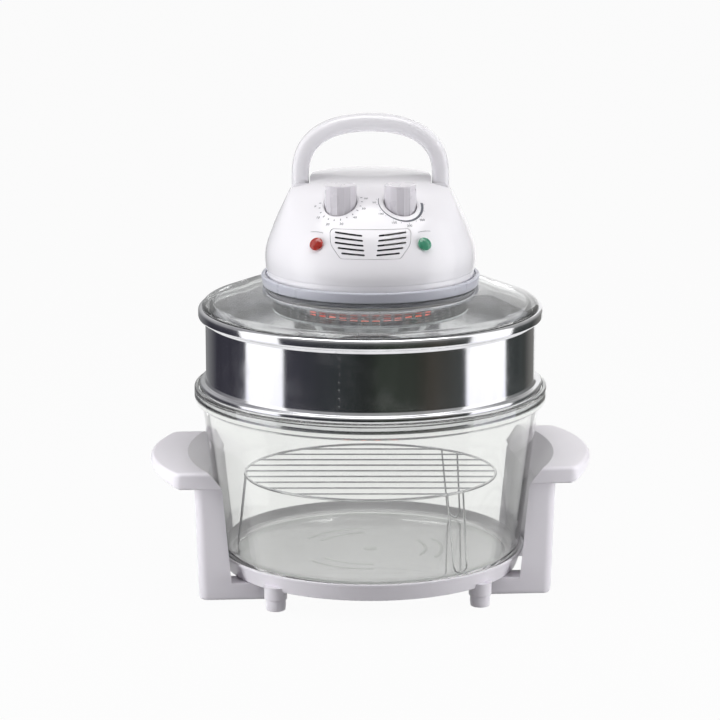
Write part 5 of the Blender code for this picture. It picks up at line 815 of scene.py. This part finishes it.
head_gloss = finish_of("head_gloss", moulded, {
    "Colour": (0.88, 0.87, 0.895, 1), "Roughness": 0.20, "Mottle": 0.02, "Grain": 700.0},
    bump=0.025, coat_weight=0.45, coat_roughness=0.08)


def curve_through(points, count):
    """A smooth run of points through a table: straight pieces, sampled evenly and then averaged"""
    points = np.array(points, float)
    along = np.concatenate([[0], np.cumsum(np.hypot(*np.diff(points, axis=0).T))])
    at = np.linspace(0, along[-1], count)
    run = np.stack([np.interp(at, along, points[:, axis]) for axis in (0, 1)], 1)
    for _ in range(int(count * 0.25)):
        run[1:-1] = (run[:-2] + 2 * run[1:-1] + run[2:]) / 4
    return run


dome_line = curve_through([
    (101.4, 314.2), (102.4, 323.0), (102.3, 330.0), (101.0, 337.0), (96.6, 349.0), (92.1, 361.0),
    (86.6, 372.7), (80.9, 384.5), (78.3, 390.0), (76.0, 394.5), (74.0, 398.5), (70.5, 401.8),
    (65.0, 403.6), (55.0, 404.3), (30.0, 404.4), (0.0, 404.4)], 150)
face_line = curve_through([
    (300.0, -115.0), (322.0, -103.5), (330.0, -99.5), (337.0, -95.5), (349.0, -88.0), (361.0, -79.0),
    (372.5, -67.0), (382.0, -52.0), (390.0, -36.0), (396.5, -15.0), (400.5, 10.0), (402.7, 40.0),
    (403.4, 75.0), (404.0, 140.0)], 260)
FACE_CURVE = 110.0
HEAD_MIDDLE = np.array((0.0, 10.0, 335.0))


def face_front(up):
    """Where the middle line of the face is (y, mm) at a height"""
    order = np.argsort(face_line[:, 0])
    return np.interp(up, face_line[order, 0], face_line[order, 1])


def face_reach(direction):
    """How many times a ray from the head's middle can be taken before it leaves by the face"""
    low, high = np.zeros(len(direction)), np.full(len(direction), 1.6)
    for _ in range(34):
        middle = (low + high) / 2
        spots = HEAD_MIDDLE + direction * middle[:, None]
        front = face_front(spots[:, 2])
        inside = FACE_CURVE - np.hypot(spots[:, 0], spots[:, 1] - (front + FACE_CURVE)) > 0
        low, high = np.where(inside, middle, low), np.where(inside, high, middle)
    return low


HEAD_FOOT = 314.6


def to_head(bm):
    """Draws the turned dome in to the face, with a soft crease between them"""
    spots = np.array([vert.co for vert in bm.verts]) / MM
    rays = spots - HEAD_MIDDLE
    length = np.linalg.norm(rays, axis=1)
    reach = face_reach(rays)
    ease = 4.5 / np.maximum(length, 1)
    blend = np.maximum(ease - np.abs(1 - reach), 0) / ease
    share = np.minimum(1.0, reach) - blend ** 2 * ease / 4
    below = np.maximum(HEAD_FOOT - spots[:, 2], 0)
    share = np.where(below > 0, np.minimum(1.0, share + below * 0.03), share)
    moved = HEAD_MIDDLE + rays * share[:, None]
    for vert, spot in zip(bm.verts, moved * MM):
        vert.co = spot


def head_shell(thickness):
    """The head's skin with a wall inside it, without its openings"""
    bm = bmesh.new()
    spun(bm, metres(((100.8, 307.9), (100.8, 313.4), *dome_line)), 288, closed=False)
    to_head(bm)
    bmesh.ops.recalc_face_normals(bm, faces=bm.faces)
    shell = object_of("shell", bm)
    wall = shell.modifiers.new("wall", "SOLIDIFY")
    wall.thickness, wall.offset, wall.use_even_offset = thickness * MM, -1.0, True
    return finished(shell)


LAMP_X, LAMP_UP = 50.7, 349.3
KNOB_X, KNOB_Y = 28.4, -43.7
LAMP_SPOTS = {}
for word, side in (("left", -1), ("right", 1)):
    bulge = FACE_CURVE - math.sqrt(FACE_CURVE ** 2 - LAMP_X ** 2)
    look = Vector((*outward(-90 + side * 24, math.cos(math.radians(34))), math.sin(math.radians(34))))
    LAMP_SPOTS[word] = (Vector((side * LAMP_X, float(face_front(LAMP_UP)) + bulge, LAMP_UP)), look)


def aim(spot, look):
    """Turns what stands at the origin to look in a direction, and puts it at the spot (mm)"""
    turn = Vector((0, 0, 1)).rotation_difference(look).to_matrix().to_4x4()
    return Matrix.Translation(Vector(spot) * MM) @ turn


def placed(bm, matrix, make, *values):
    """Adds something by its maker, and moves only that"""
    there = set(bm.verts)
    make(bm, *values)
    bmesh.ops.transform(bm, matrix=matrix, verts=[vert for vert in bm.verts if vert not in there])


def slot_plate(bm, half_width, half_height, middle, tilt=0.0, depth=(-130, -50)):
    """Adds a bar with round ends, lying along the view, to cut a slot in the face; millimetres"""
    outline = rounded([(-half_width, -half_height, half_height), (half_width, -half_height, half_height),
                       (half_width, half_height, half_height), (-half_width, half_height, half_height)], 4)
    turn = turned(tilt, "Y", 4) @ turned(90, "X", 4)
    placed(bm, Matrix.Translation((middle[0] * MM, 0, middle[1] * MM)) @ turn, prism, outline,
           -depth[1] * MM, -depth[0] * MM)


VENT_FOOT = 338.5


def vent_plug(bm, gap):
    """Adds the grille's outline as a plug along the view: wide at the top, drawn in below"""
    right = [(28.5 + gap, VENT_FOOT - gap, 4.5), (38.0 + gap, 350.5, 12), (38.6 + gap, 364.0 + gap, 4.0)]
    left = [(-across, up, radius) for across, up, radius in reversed(right)]
    placed(bm, turned(90, "X", 4), prism, rounded(right + left, 8), 45 * MM, 130 * MM)


def pocket(bm, side, wall, low, high, back):
    """Adds the room of a handle pocket, wider at the back, where the arch's shoulder folds down"""
    line = ((58.9, 1.3 - wall), (58.9, 20.0), (55.0, 50.0), (55.0, back))
    plan = [(side * (across - wall), along) for across, along in line]
    plan += [(side * 77.5, back), (side * 77.5, 1.3 - wall)]
    prism(bm, metres(plan), low * MM, high * MM)


POCKET_FLOOR = 371.3
tool = bmesh.new()
vent_plug(tool, 0.0)
for side in (-1, 1):
    pin(tool, 17.3, 366.0, 420.0, 72, (side * KNOB_X, KNOB_Y))
    pocket(tool, side, 0.0, POCKET_FLOOR, 420.0, 140.0)
for spot, look in LAMP_SPOTS.values():
    placed(tool, aim(spot, look), pin, 5.1, -14, 7, 40)
for row in range(5):
    slot_plate(tool, 24, 1.4, (0, 335.3 + 7.5 * row), depth=(51, 205))
placed(tool, Matrix.Translation((0, 0, 322.9 * MM)) @ turned(-90, "X", 4), pin, 6.5, 93, 107, 40)
bm = combined(head_shell(2.6), tool)
head_surface = BVHTree.FromBMesh(bm)
piece("head", bm, head_gloss, "lid", "white_plastic", "housing", crease=34)

# Each knob turns in a white cup that closes its well and is trimmed to the face.
bm = bmesh.new()
for side in (-1, 1):
    spun(bm, rounded([(4.0, 366.9), (16.0, 366.9, 0.8), (16.0, 410), (17.2, 410), (17.2, 365.7, 1.2),
                      (4.0, 365.7)], 4), 96, (side * KNOB_X, KNOB_Y))
inside = bmesh.new()
spun(inside, metres(((0, 316), (101.0, 316), *(point for point in dome_line if point[1] > 316.5))), 200,
     closed=False)
to_head(inside)
bmesh.ops.translate(inside, vec=(0, 0.4 * MM, -0.2 * MM), verts=inside.verts)
bmesh.ops.recalc_face_normals(inside, faces=inside.faces)
bm = combined(bm, inside, "INTERSECT")
piece("knob_wells", bm, head_gloss, "lid", "white_plastic")

# The pockets have their own walls, so that the handle's feet sit in closed wells.
walls, room, dome = bmesh.new(), bmesh.new(), bmesh.new()
for side in (-1, 1):
    pocket(walls, side, 1.9, 369.4, 396.0, 78.0)
    pocket(room, side, 0.0, POCKET_FLOOR, 420.0, 140.0)
spun(dome, metres(((99.6, 316), *((x - 1.6 if x > 5 else 0, z - 1.6) for x, z in dome_line))), 160,
     closed=False)
bm = combined(combined(walls, room), dome, "INTERSECT")
piece("handle_pockets", bm, head_gloss, "lid", "white_plastic")


# Front grille
# A separate white moulding, clipped into the face, with five slots each side
# of its spine. The dark hollow of the head shows through the slots.

tool = bmesh.new()
vent_plug(tool, -0.35)
bm = combined(head_shell(2.4), tool, "INTERSECT")
tool = bmesh.new()
for row in range(5):
    height = 4.2 + 4.25 * row
    inner = 5.4 + 2.3 * row / 4
    outer = min(28.5 + 9.5 * height / 12, 38.0) - 4.2
    for side in (-1, 1):
        slot_plate(tool, (outer - inner) / 2, 0.85, (side * (inner + outer) / 2, VENT_FOOT + height),
                   -side * (3.5 + 1.8 * row / 4))
bm = combined(bm, tool)
piece("front_grille", bm, head_gloss, "lid", "white_plastic", "vent_grille", crease=34)


# Pilot lamps
# Two clear coloured lenses with faceted backs, red for power and green for
# heat, each held by a black clip behind the face.

def lens_finish(name, colour, glow_colour):
    """Coloured glass with a faint lit pattern of facets"""
    made = finish_of(name, glassy, {"Colour": colour, "Clear": 0.06, "Smear": 0.05},
                     transmission_weight=0.55, ior=1.49, coat_weight=0.6)
    tree = made.node_tree
    shader = tree.nodes["Principled BSDF"]
    spot = add(tree, "TexCoord").outputs["Object"]
    facets = add(tree, "TexVoronoi", (("Scale", 420.0),), (("Vector", spot),))
    tone = add(tree, "ValToRGB", (), (("Fac", facets.outputs["Distance"]),))
    tone.color_ramp.elements[0].color = (*glow_colour, 1)
    tone.color_ramp.elements[1].color = (*(part * 0.25 for part in glow_colour), 1)
    tree.links.new(tone.outputs["Color"], shader.inputs["Emission Color"])
    shader.inputs["Emission Strength"].default_value = 0.16
    return made


red_lens = lens_finish("red_lens", (0.55, 0.03, 0.015, 1), (0.60, 0.03, 0.01))
green_lens = lens_finish("green_lens", (0.08, 0.42, 0.26, 1), (0.05, 0.36, 0.20))
black_clip = finish_of("black_clip", moulded, {
    "Colour": (0.03, 0.03, 0.032, 1), "Roughness": 0.45, "Mottle": 0.2, "Grain": 800.0}, bump=0.1)
for label, word, finish, slot in (("power_lamp", "left", red_lens, "red_lens"),
                                  ("heat_lamp", "right", green_lens, "green_lens")):
    spot, look = LAMP_SPOTS[word]
    seat = aim(spot + look * 1.5, look)
    bm = bmesh.new()
    spun(bm, rounded([(0, 3.1), (3.6, 2.75, 2.0), (5.8, 1.7, 1.2), (6.6, 0.6, 0.4), (6.6, 0, 0.2),
                      (4.8, 0, 0.2), (4.8, -7.0, 0.4), (0, -7.0)]), 48)
    bmesh.ops.transform(bm, matrix=seat, verts=bm.verts)
    piece(f"{label}_cover", bm, finish, "lid", slot, f"{label}_lens")
    bm = bmesh.new()
    spun(bm, rounded([(0, -7.3), (6.2, -7.3, 0.6), (6.2, -17.3, 0.6), (0, -17.3)]), 40)
    bmesh.ops.transform(bm, matrix=seat, verts=bm.verts)
    piece(f"{label}_clip", bm, black_clip, "lid", "black_plastic", f"{label}_holder")


# Printed dials
# Fine grey printing on the face: minute marks with plain numbers round the
# timer, and a tapering band with degree numbers round the thermostat.

print_ink = finish_of("print_ink", moulded, {
    "Colour": (0.10, 0.105, 0.13, 1), "Roughness": 0.5, "Mottle": 0.25, "Grain": 1500.0}, bump=0.02)


def face_point(across, up):
    """The point of the cut face (mm) at this place of the view from the front"""
    bulge = FACE_CURVE - math.sqrt(FACE_CURVE ** 2 - across ** 2)
    return Vector((across, float(face_front(up)) + bulge, up))


def on_face(across, up):
    """The point of the head (mm) at this place of the view from the front, and its outward direction"""
    here = face_point(across, up)
    normal = (face_point(across + 1, up) - here).cross(face_point(across, up + 1) - here).normalized()
    found = head_surface.ray_cast((here + normal * 6) * MM, -normal, 12 * MM)[0]
    return (found / MM if found else here), normal


def along_face(centre, radius, angle):
    """A place on the face at a radius in plan from a knob's axis, 0 degrees at the front"""
    x, y = Vector(centre) + outward(angle - 90, radius)
    low, high = 300.0, 404.0
    for _ in range(40):
        middle = (low + high) / 2
        low, high = (middle, high) if face_point(x, middle).y < y else (low, middle)
    return on_face(x, low)


def flat_on(spot, normal, up, lift):
    """Lays something flat on the face, lifted off it by a hair, with its top towards a direction"""
    level = (up - normal * up.dot(normal)).normalized()
    turn = Matrix((level.cross(normal), level, normal)).transposed().to_4x4()
    return Matrix.Translation((spot + normal * lift) * MM) @ turn


def printed(bm, text, size, spot, normal):
    """Adds flat printed characters on the face"""
    words = bpy.data.curves.new("words", "FONT")
    words.body, words.size, words.align_x, words.align_y = text, size * MM, "CENTER", "CENTER"
    words.extrude, words.resolution_u = 0.04 * MM, 3
    holder = bpy.data.objects.new("words", words)
    scene.collection.objects.link(holder)
    bpy.context.view_layer.update()
    mesh = bpy.data.meshes.new_from_object(holder.evaluated_get(bpy.context.evaluated_depsgraph_get()))
    bpy.data.objects.remove(holder)
    mesh.transform(flat_on(spot, normal, Vector((0, 0, 1)), 0.10))
    bm.from_mesh(mesh)
    bpy.data.meshes.remove(mesh)


def tick(bm, spot, normal, out, length, width):
    """Adds a short printed line on the face"""
    bmesh.ops.create_cube(bm, size=1.0, matrix=flat_on(spot, normal, out, 0.09)
                          @ Matrix.Diagonal((width * MM, length * MM, 0.06 * MM, 1)))


TIMER_AXIS, HEAT_AXIS = (-KNOB_X, KNOB_Y), (KNOB_X, KNOB_Y)
bm = bmesh.new()
for step in range(13):
    angle = -104 + 208 * step / 12
    spot, normal = along_face(TIMER_AXIS, 20.2, angle)
    out = along_face(TIMER_AXIS, 21.2, angle)[0] - spot
    tick(bm, spot, normal, out, 2.3 if step % 3 == 0 else 1.6, 0.75)
for text, angle in (("0", -96), ("10", -62), ("20", -30), ("30", 2), ("40", 34), ("50", 64), ("60", 98)):
    printed(bm, text, 3.8, *along_face(TIMER_AXIS, 24.4, angle))
piece("timer_scale", bm, print_ink, "lid", "black_plastic")

bm = bmesh.new()
inner, outer = [], []
steps = 60
for step in range(steps + 1):
    share = step / steps
    angle = -100 + 205 * share
    width = 0.6 + 1.9 * share ** 1.4
    for radius, line in ((21.0 - width / 2, inner), (21.0 + width / 2, outer)):
        spot, normal = along_face(HEAT_AXIS, radius, angle)
        line.append(bm.verts.new((spot + normal * 0.10) * MM))
for step in range(steps):
    bm.faces.new((inner[step], outer[step], outer[step + 1], inner[step + 1]))
bmesh.ops.recalc_face_normals(bm, faces=bm.faces)
bmesh.ops.solidify(bm, geom=bm.faces[:], thickness=0.05 * MM)
for text, angle in (("50", -84), ("100", -48), ("150", -14), ("200", 20), ("250", 56)):
    printed(bm, text, 3.6, *along_face(HEAT_AXIS, 25.0, angle))
for step in range(11):
    angle = -96 + 196 * step / 10
    spot, normal = along_face(HEAT_AXIS, 22.9, angle)
    tick(bm, spot, normal, along_face(HEAT_AXIS, 24, angle)[0] - spot, 0.9, 0.4)
piece("thermostat_scale", bm, print_ink, "lid", "black_plastic")

bm = bmesh.new()
for middle, up in ((-LAMP_X, 360.1), (LAMP_X, 360.7)):
    for step in range(12):
        off = step - 5.5
        spot, normal = on_face(middle + off, up - 0.014 * off ** 2)
        tick(bm, spot, normal, Vector((1, 0, 0)), 1.05, 0.38)
piece("lamp_marks", bm, print_ink, "lid", "black_plastic")


# Knobs
# Two tall fluted caps of grey-white plastic on upright shafts, in round wells
# in the face. A raised line on each top shows where it points.

knob_moulding = finish_of("knob_moulding", moulded, {
    "Colour": (0.74, 0.715, 0.755, 1), "Roughness": 0.28, "Mottle": 0.05, "Grain": 1200.0},
    bump=0.06, coat_weight=0.2, coat_roughness=0.2)
for label, side in (("timer", -1), ("thermostat", 1)):
    bm = bmesh.new()
    spun(bm, rounded([
        (0, 401.6), (12.2, 401.6, 0.6), (13.0, 402.0, 0.4), (15.15, 402.0, 1.2), (15.15, 368.0, 0.4),
        (13.15, 368.0, 0.3), (13.15, 399.0, 0.6), (5.5, 399.0, 0.6), (5.5, 368.5, 0.3), (3.2, 368.5, 0.2),
        (3.2, 398.7, 0.2), (0, 398.7)], 5), 240)
    flutes, flute_depth, flute_top = 14, 1.1 * MM, 0.4008
    for vert in bm.verts:
        reach = math.hypot(vert.co.x, vert.co.y)
        if reach > 13.9 * MM and vert.co.z < flute_top:
            around = math.atan2(vert.co.y, vert.co.x) * flutes / math.tau % 1
            depth = flute_depth * (1 - (2 * around - 1) ** 4)
            depth *= min(1.0, (flute_top - vert.co.z) / 0.002)
            vert.co.x *= (reach - depth) / reach
            vert.co.y *= (reach - depth) / reach
    mark = boxed(bm, (-0.6, -13.2, 401.4), (0.6, -3.0, 402.5))
    bmesh.ops.bevel(bm, geom=rim_of(mark), offset=0.2 * MM, segments=2, profile=0.5, affect="EDGES",
                    clamp_overlap=True, material=-1)
    bmesh.ops.translate(bm, vec=(side * KNOB_X * MM, KNOB_Y * MM, 0), verts=bm.verts)
    piece(f"{label}_cap", bm, knob_moulding, f"{label}_knob", "grey_plastic", f"{label}_knob", crease=30)


# Carrying handle
# A broad arched bar of glossy white plastic, oval in section. Its round feet
# turn on two pins in the head's pockets, so that it folds back.

PIVOT_X, PIVOT_Y, PIVOT_UP = 68.2, 14.0, 384.0
SPRING, CROWN = 405.0, 462.5
rise, power = CROWN - 8.9 - SPRING, 2 / 2.35
half_depth, section_power = 11.75, 0.72
line = [(-PIVOT_X, PIVOT_UP + (SPRING - PIVOT_UP) * step / 6) for step in range(6)]
for step in range(65):
    angle = math.pi * step / 64
    line.append((math.copysign(abs(math.cos(angle)) ** power, -math.cos(angle)) * PIVOT_X,
                 SPRING + rise * math.sin(angle) ** power))
line += [(PIVOT_X, SPRING - (SPRING - PIVOT_UP) * step / 6) for step in range(1, 7)]
spots = curve_through(line, 120)
bm = bmesh.new()
rims = []
for index, (across, up) in enumerate(spots):
    before, after = spots[max(index - 1, 0)], spots[min(index + 1, len(spots) - 1)]
    along = Vector((after[0] - before[0], 0, after[1] - before[1])).normalized()
    out = along.cross(Vector((0, 1, 0))).normalized()
    thickness = 16.8 + max((up - SPRING) / (CROWN - SPRING), 0)
    ring = bmesh.ops.create_circle(bm, cap_ends=False, segments=40, radius=1.0)["verts"]
    for vert in ring:
        angle = math.atan2(vert.co.y, vert.co.x)
        wide = math.copysign(abs(math.cos(angle)) ** section_power, math.cos(angle)) * thickness / 2
        deep = math.copysign(abs(math.sin(angle)) ** section_power, math.sin(angle)) * half_depth
        vert.co = (Vector((across, PIVOT_Y + deep, up)) + out * wide) * MM
    rims.append(rim_of(ring))
skinned(bm, rims)
bmesh.ops.recalc_face_normals(bm, faces=bm.faces)


def at_pivot(across):
    """Lays an upright thing along the pivot, at a distance to the side"""
    return Matrix.Translation(Vector((across, PIVOT_Y, PIVOT_UP)) * MM) @ turned(90, "Y", 4)


tool = bmesh.new()
for side in (-1, 1):
    foot = bmesh.new()
    placed(foot, at_pivot(side * PIVOT_X), spun,
           rounded([(0, -8.4), (11.8, -8.4, 1.4), (11.8, 8.4, 1.4), (0, 8.4)]), 72)
    bm = combined(bm, foot, "UNION")
    placed(tool, at_pivot(side * 65.4), pin, 3.35, -7, 7, 40)
bm = combined(bm, tool)
piece("arched_handle", bm, head_gloss, "handle", "white_plastic", "carry_handle", crease=62)


# Heater guard
# A pressed, slotted drum of bright steel that hangs below the glass, with a
# rolled lip and a shallow dish. Rows of slots let the fan's hot air out.

guard_steel = finish_of("guard_steel", brushed, {
    "Colour": (0.46, 0.48, 0.49, 1), "Roughness": 0.12, "Lines": 260.0, "Streaks": 0.22},
    bump=0.30, depth=0.0006, metallic=1.0)
mirror_steel = finish_of("mirror_steel", brushed, {
    "Colour": (0.82, 0.82, 0.81, 1), "Roughness": 0.07, "Lines": 200.0, "Streaks": 0.04},
    bump=0.03, depth=0.0003, metallic=1.0)

bm = bmesh.new()
spun(bm, rounded([
    (93.3, 288.0, 0.3), (94.5, 288.0, 0.4), (94.5, 273.6, 0.5), (95.7, 272.4, 0.8), (95.0, 271.2, 0.6),
    (66.0, 271.2, 2.0), (57.5, 254.5, 4.8), (30.0, 254.5, 1.0), (28.5, 255.1, 1.0), (0, 255.1),
    (0, 256.3), (28.0, 256.3, 1.0), (29.5, 255.7, 1.0), (56.3, 255.7, 2.4), (64.8, 272.4, 1.5),
    (93.3, 272.4, 0.8)], 5), 192)
tool = bmesh.new()
for index in range(56):
    for row in range(4):
        placed(tool, turned(360 * (index + 0.5) / 56, size=4), boxed,
               (87, -3.5, 274.6 + 2.9 * row), (99, 3.5, 276.3 + 2.9 * row))
floor_slot = rounded([(16, -2.5, 2.4), (49, -2.5, 2.4), (49, 2.5, 2.4), (16, 2.5, 2.4)], 4)
for index in range(12):
    placed(tool, turned(360 * (index + 0.5) / 12, size=4), prism, floor_slot, 248 * MM, 262 * MM)
bm = combined(bm, tool)
piece("heater_cage", bm, guard_steel, "lid", "dark_steel", "heater_guard", crease=35)

bm = bmesh.new()
spun(bm, rounded([
    (6.2, 288.0, 0.2), (83.15, 288.0, 0.3), (83.15, 286.8, 0.3), (79.0, 286.8, 0.5), (77.5, 287.2, 0.5),
    (34.0, 287.2, 0.5), (32.5, 286.8, 0.5), (6.2, 286.8, 0.2)], 3), 128)
piece("bright_reflector", bm, mirror_steel, "lid", "steel", "reflector_plate")


# Halogen tube and its holders
# A ring of ruby-coated quartz tube with a coiled filament inside it, held at
# its turned-up ends by two ceramic blocks under the reflector.

quartz = finish_of("ruby_quartz", glassy, {"Colour": (0.95, 0.30, 0.16, 1), "Clear": 0.05, "Smear": 0.1},
                   transmission_weight=0.6, ior=1.46, coat_weight=0.4)
tree = quartz.node_tree
bands = noise(tree, add(tree, "TexCoord").outputs["Object"], 55.0, 3.0)
heat = add(tree, "ValToRGB", (), (("Fac", bands),))
cool, hot = heat.color_ramp.elements
cool.position, cool.color = 0.35, (0.50, 0.07, 0.05, 1)
hot.position, hot.color = 0.68, (0.80, 0.22, 0.15, 1)
tree.links.new(heat.outputs["Color"], tree.nodes["Principled BSDF"].inputs["Emission Color"])
tree.nodes["Principled BSDF"].inputs["Emission Strength"].default_value = 0.5

TUBE_RADIUS, TUBE_LEVEL, TUBE_END = 56, 268.0, 108
points = arc(TUBE_RADIUS, TUBE_END, TUBE_END + 324, TUBE_LEVEL, 84)
for end, ahead in ((points[0], True), (points[-1], False)):
    inward = -math.copysign(10.8, end[0])
    riser = [(end[0] + inward * math.sin(math.radians(turn)), end[1],
              TUBE_LEVEL + 5.2 * (1 - math.cos(math.radians(turn)))) for turn in (20, 40, 60, 80, 90)]
    riser.append((riser[-1][0], end[1], 279.0))
    points = riser[::-1] + points if ahead else points + riser
bm = bmesh.new()
wire(bm, points, 4.4, 18)
piece("ruby_tube", bm, quartz, "lid", "heater_tube", "halogen_tube", crease=60)

ceramic = finish_of("ceramic", moulded, {
    "Colour": (0.83, 0.80, 0.74, 1), "Roughness": 0.55, "Mottle": 0.10, "Grain": 600.0}, bump=0.2)
for word in ("left", "right"):
    low, high = (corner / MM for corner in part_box(f"{word}_tube_holder"))
    bm = bmesh.new()
    boxed(bm, low, high)
    bmesh.ops.bevel(bm, geom=bm.edges[:], offset=1.0 * MM, segments=3, profile=0.5, affect="EDGES",
                    material=-1)
    tool = bmesh.new()
    pin(tool, 4.9, 260, 279.4, 32, ((low.x + high.x) / 2, outward(TUBE_END, TUBE_RADIUS).y))
    bm = combined(bm, tool)
    piece(f"{word}_ceramic_block", bm, ceramic, "lid", "ceramic", f"{word}_tube_holder")


# Fittings inside the head
# The pieces that the head hides or half hides keep their solids: motor and
# plate, rotor and fans, timer, thermostat, bracket, switch and gland. Each
# gets the finish of its own material.

dark_enamel = finish_of("dark_enamel", moulded, {
    "Colour": (0.07, 0.07, 0.075, 1), "Roughness": 0.4, "Mottle": 0.2, "Grain": 500.0}, bump=0.15)
plated = finish_of("plated_steel", brushed, {
    "Colour": (0.62, 0.61, 0.58, 1), "Roughness": 0.25, "Lines": 600.0, "Streaks": 0.10},
    bump=0.06, metallic=1.0)
for finish, names in (
        (dark_enamel, ("motor",)),
        (plated, ("motor_plate", "control_bracket", "motor_shaft", "timer_shaft", "thermostat_shaft",
                  "fan_nut", "left_pivot_pin", "right_pivot_pin", "housing_screw_1", "housing_screw_2",
                  "housing_screw_3", "housing_screw_4")),
        (mirror_steel, ("circulation_fan",)),
        (black_clip, ("cooling_fan", "timer", "terminal_block", "safety_switch", "cord_gland")),
        (ceramic, ("thermostat", "thermal_cutout"))):
    for name in names:
        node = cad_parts[name]
        node.data.materials.clear()
        node.data.materials.append(finish)
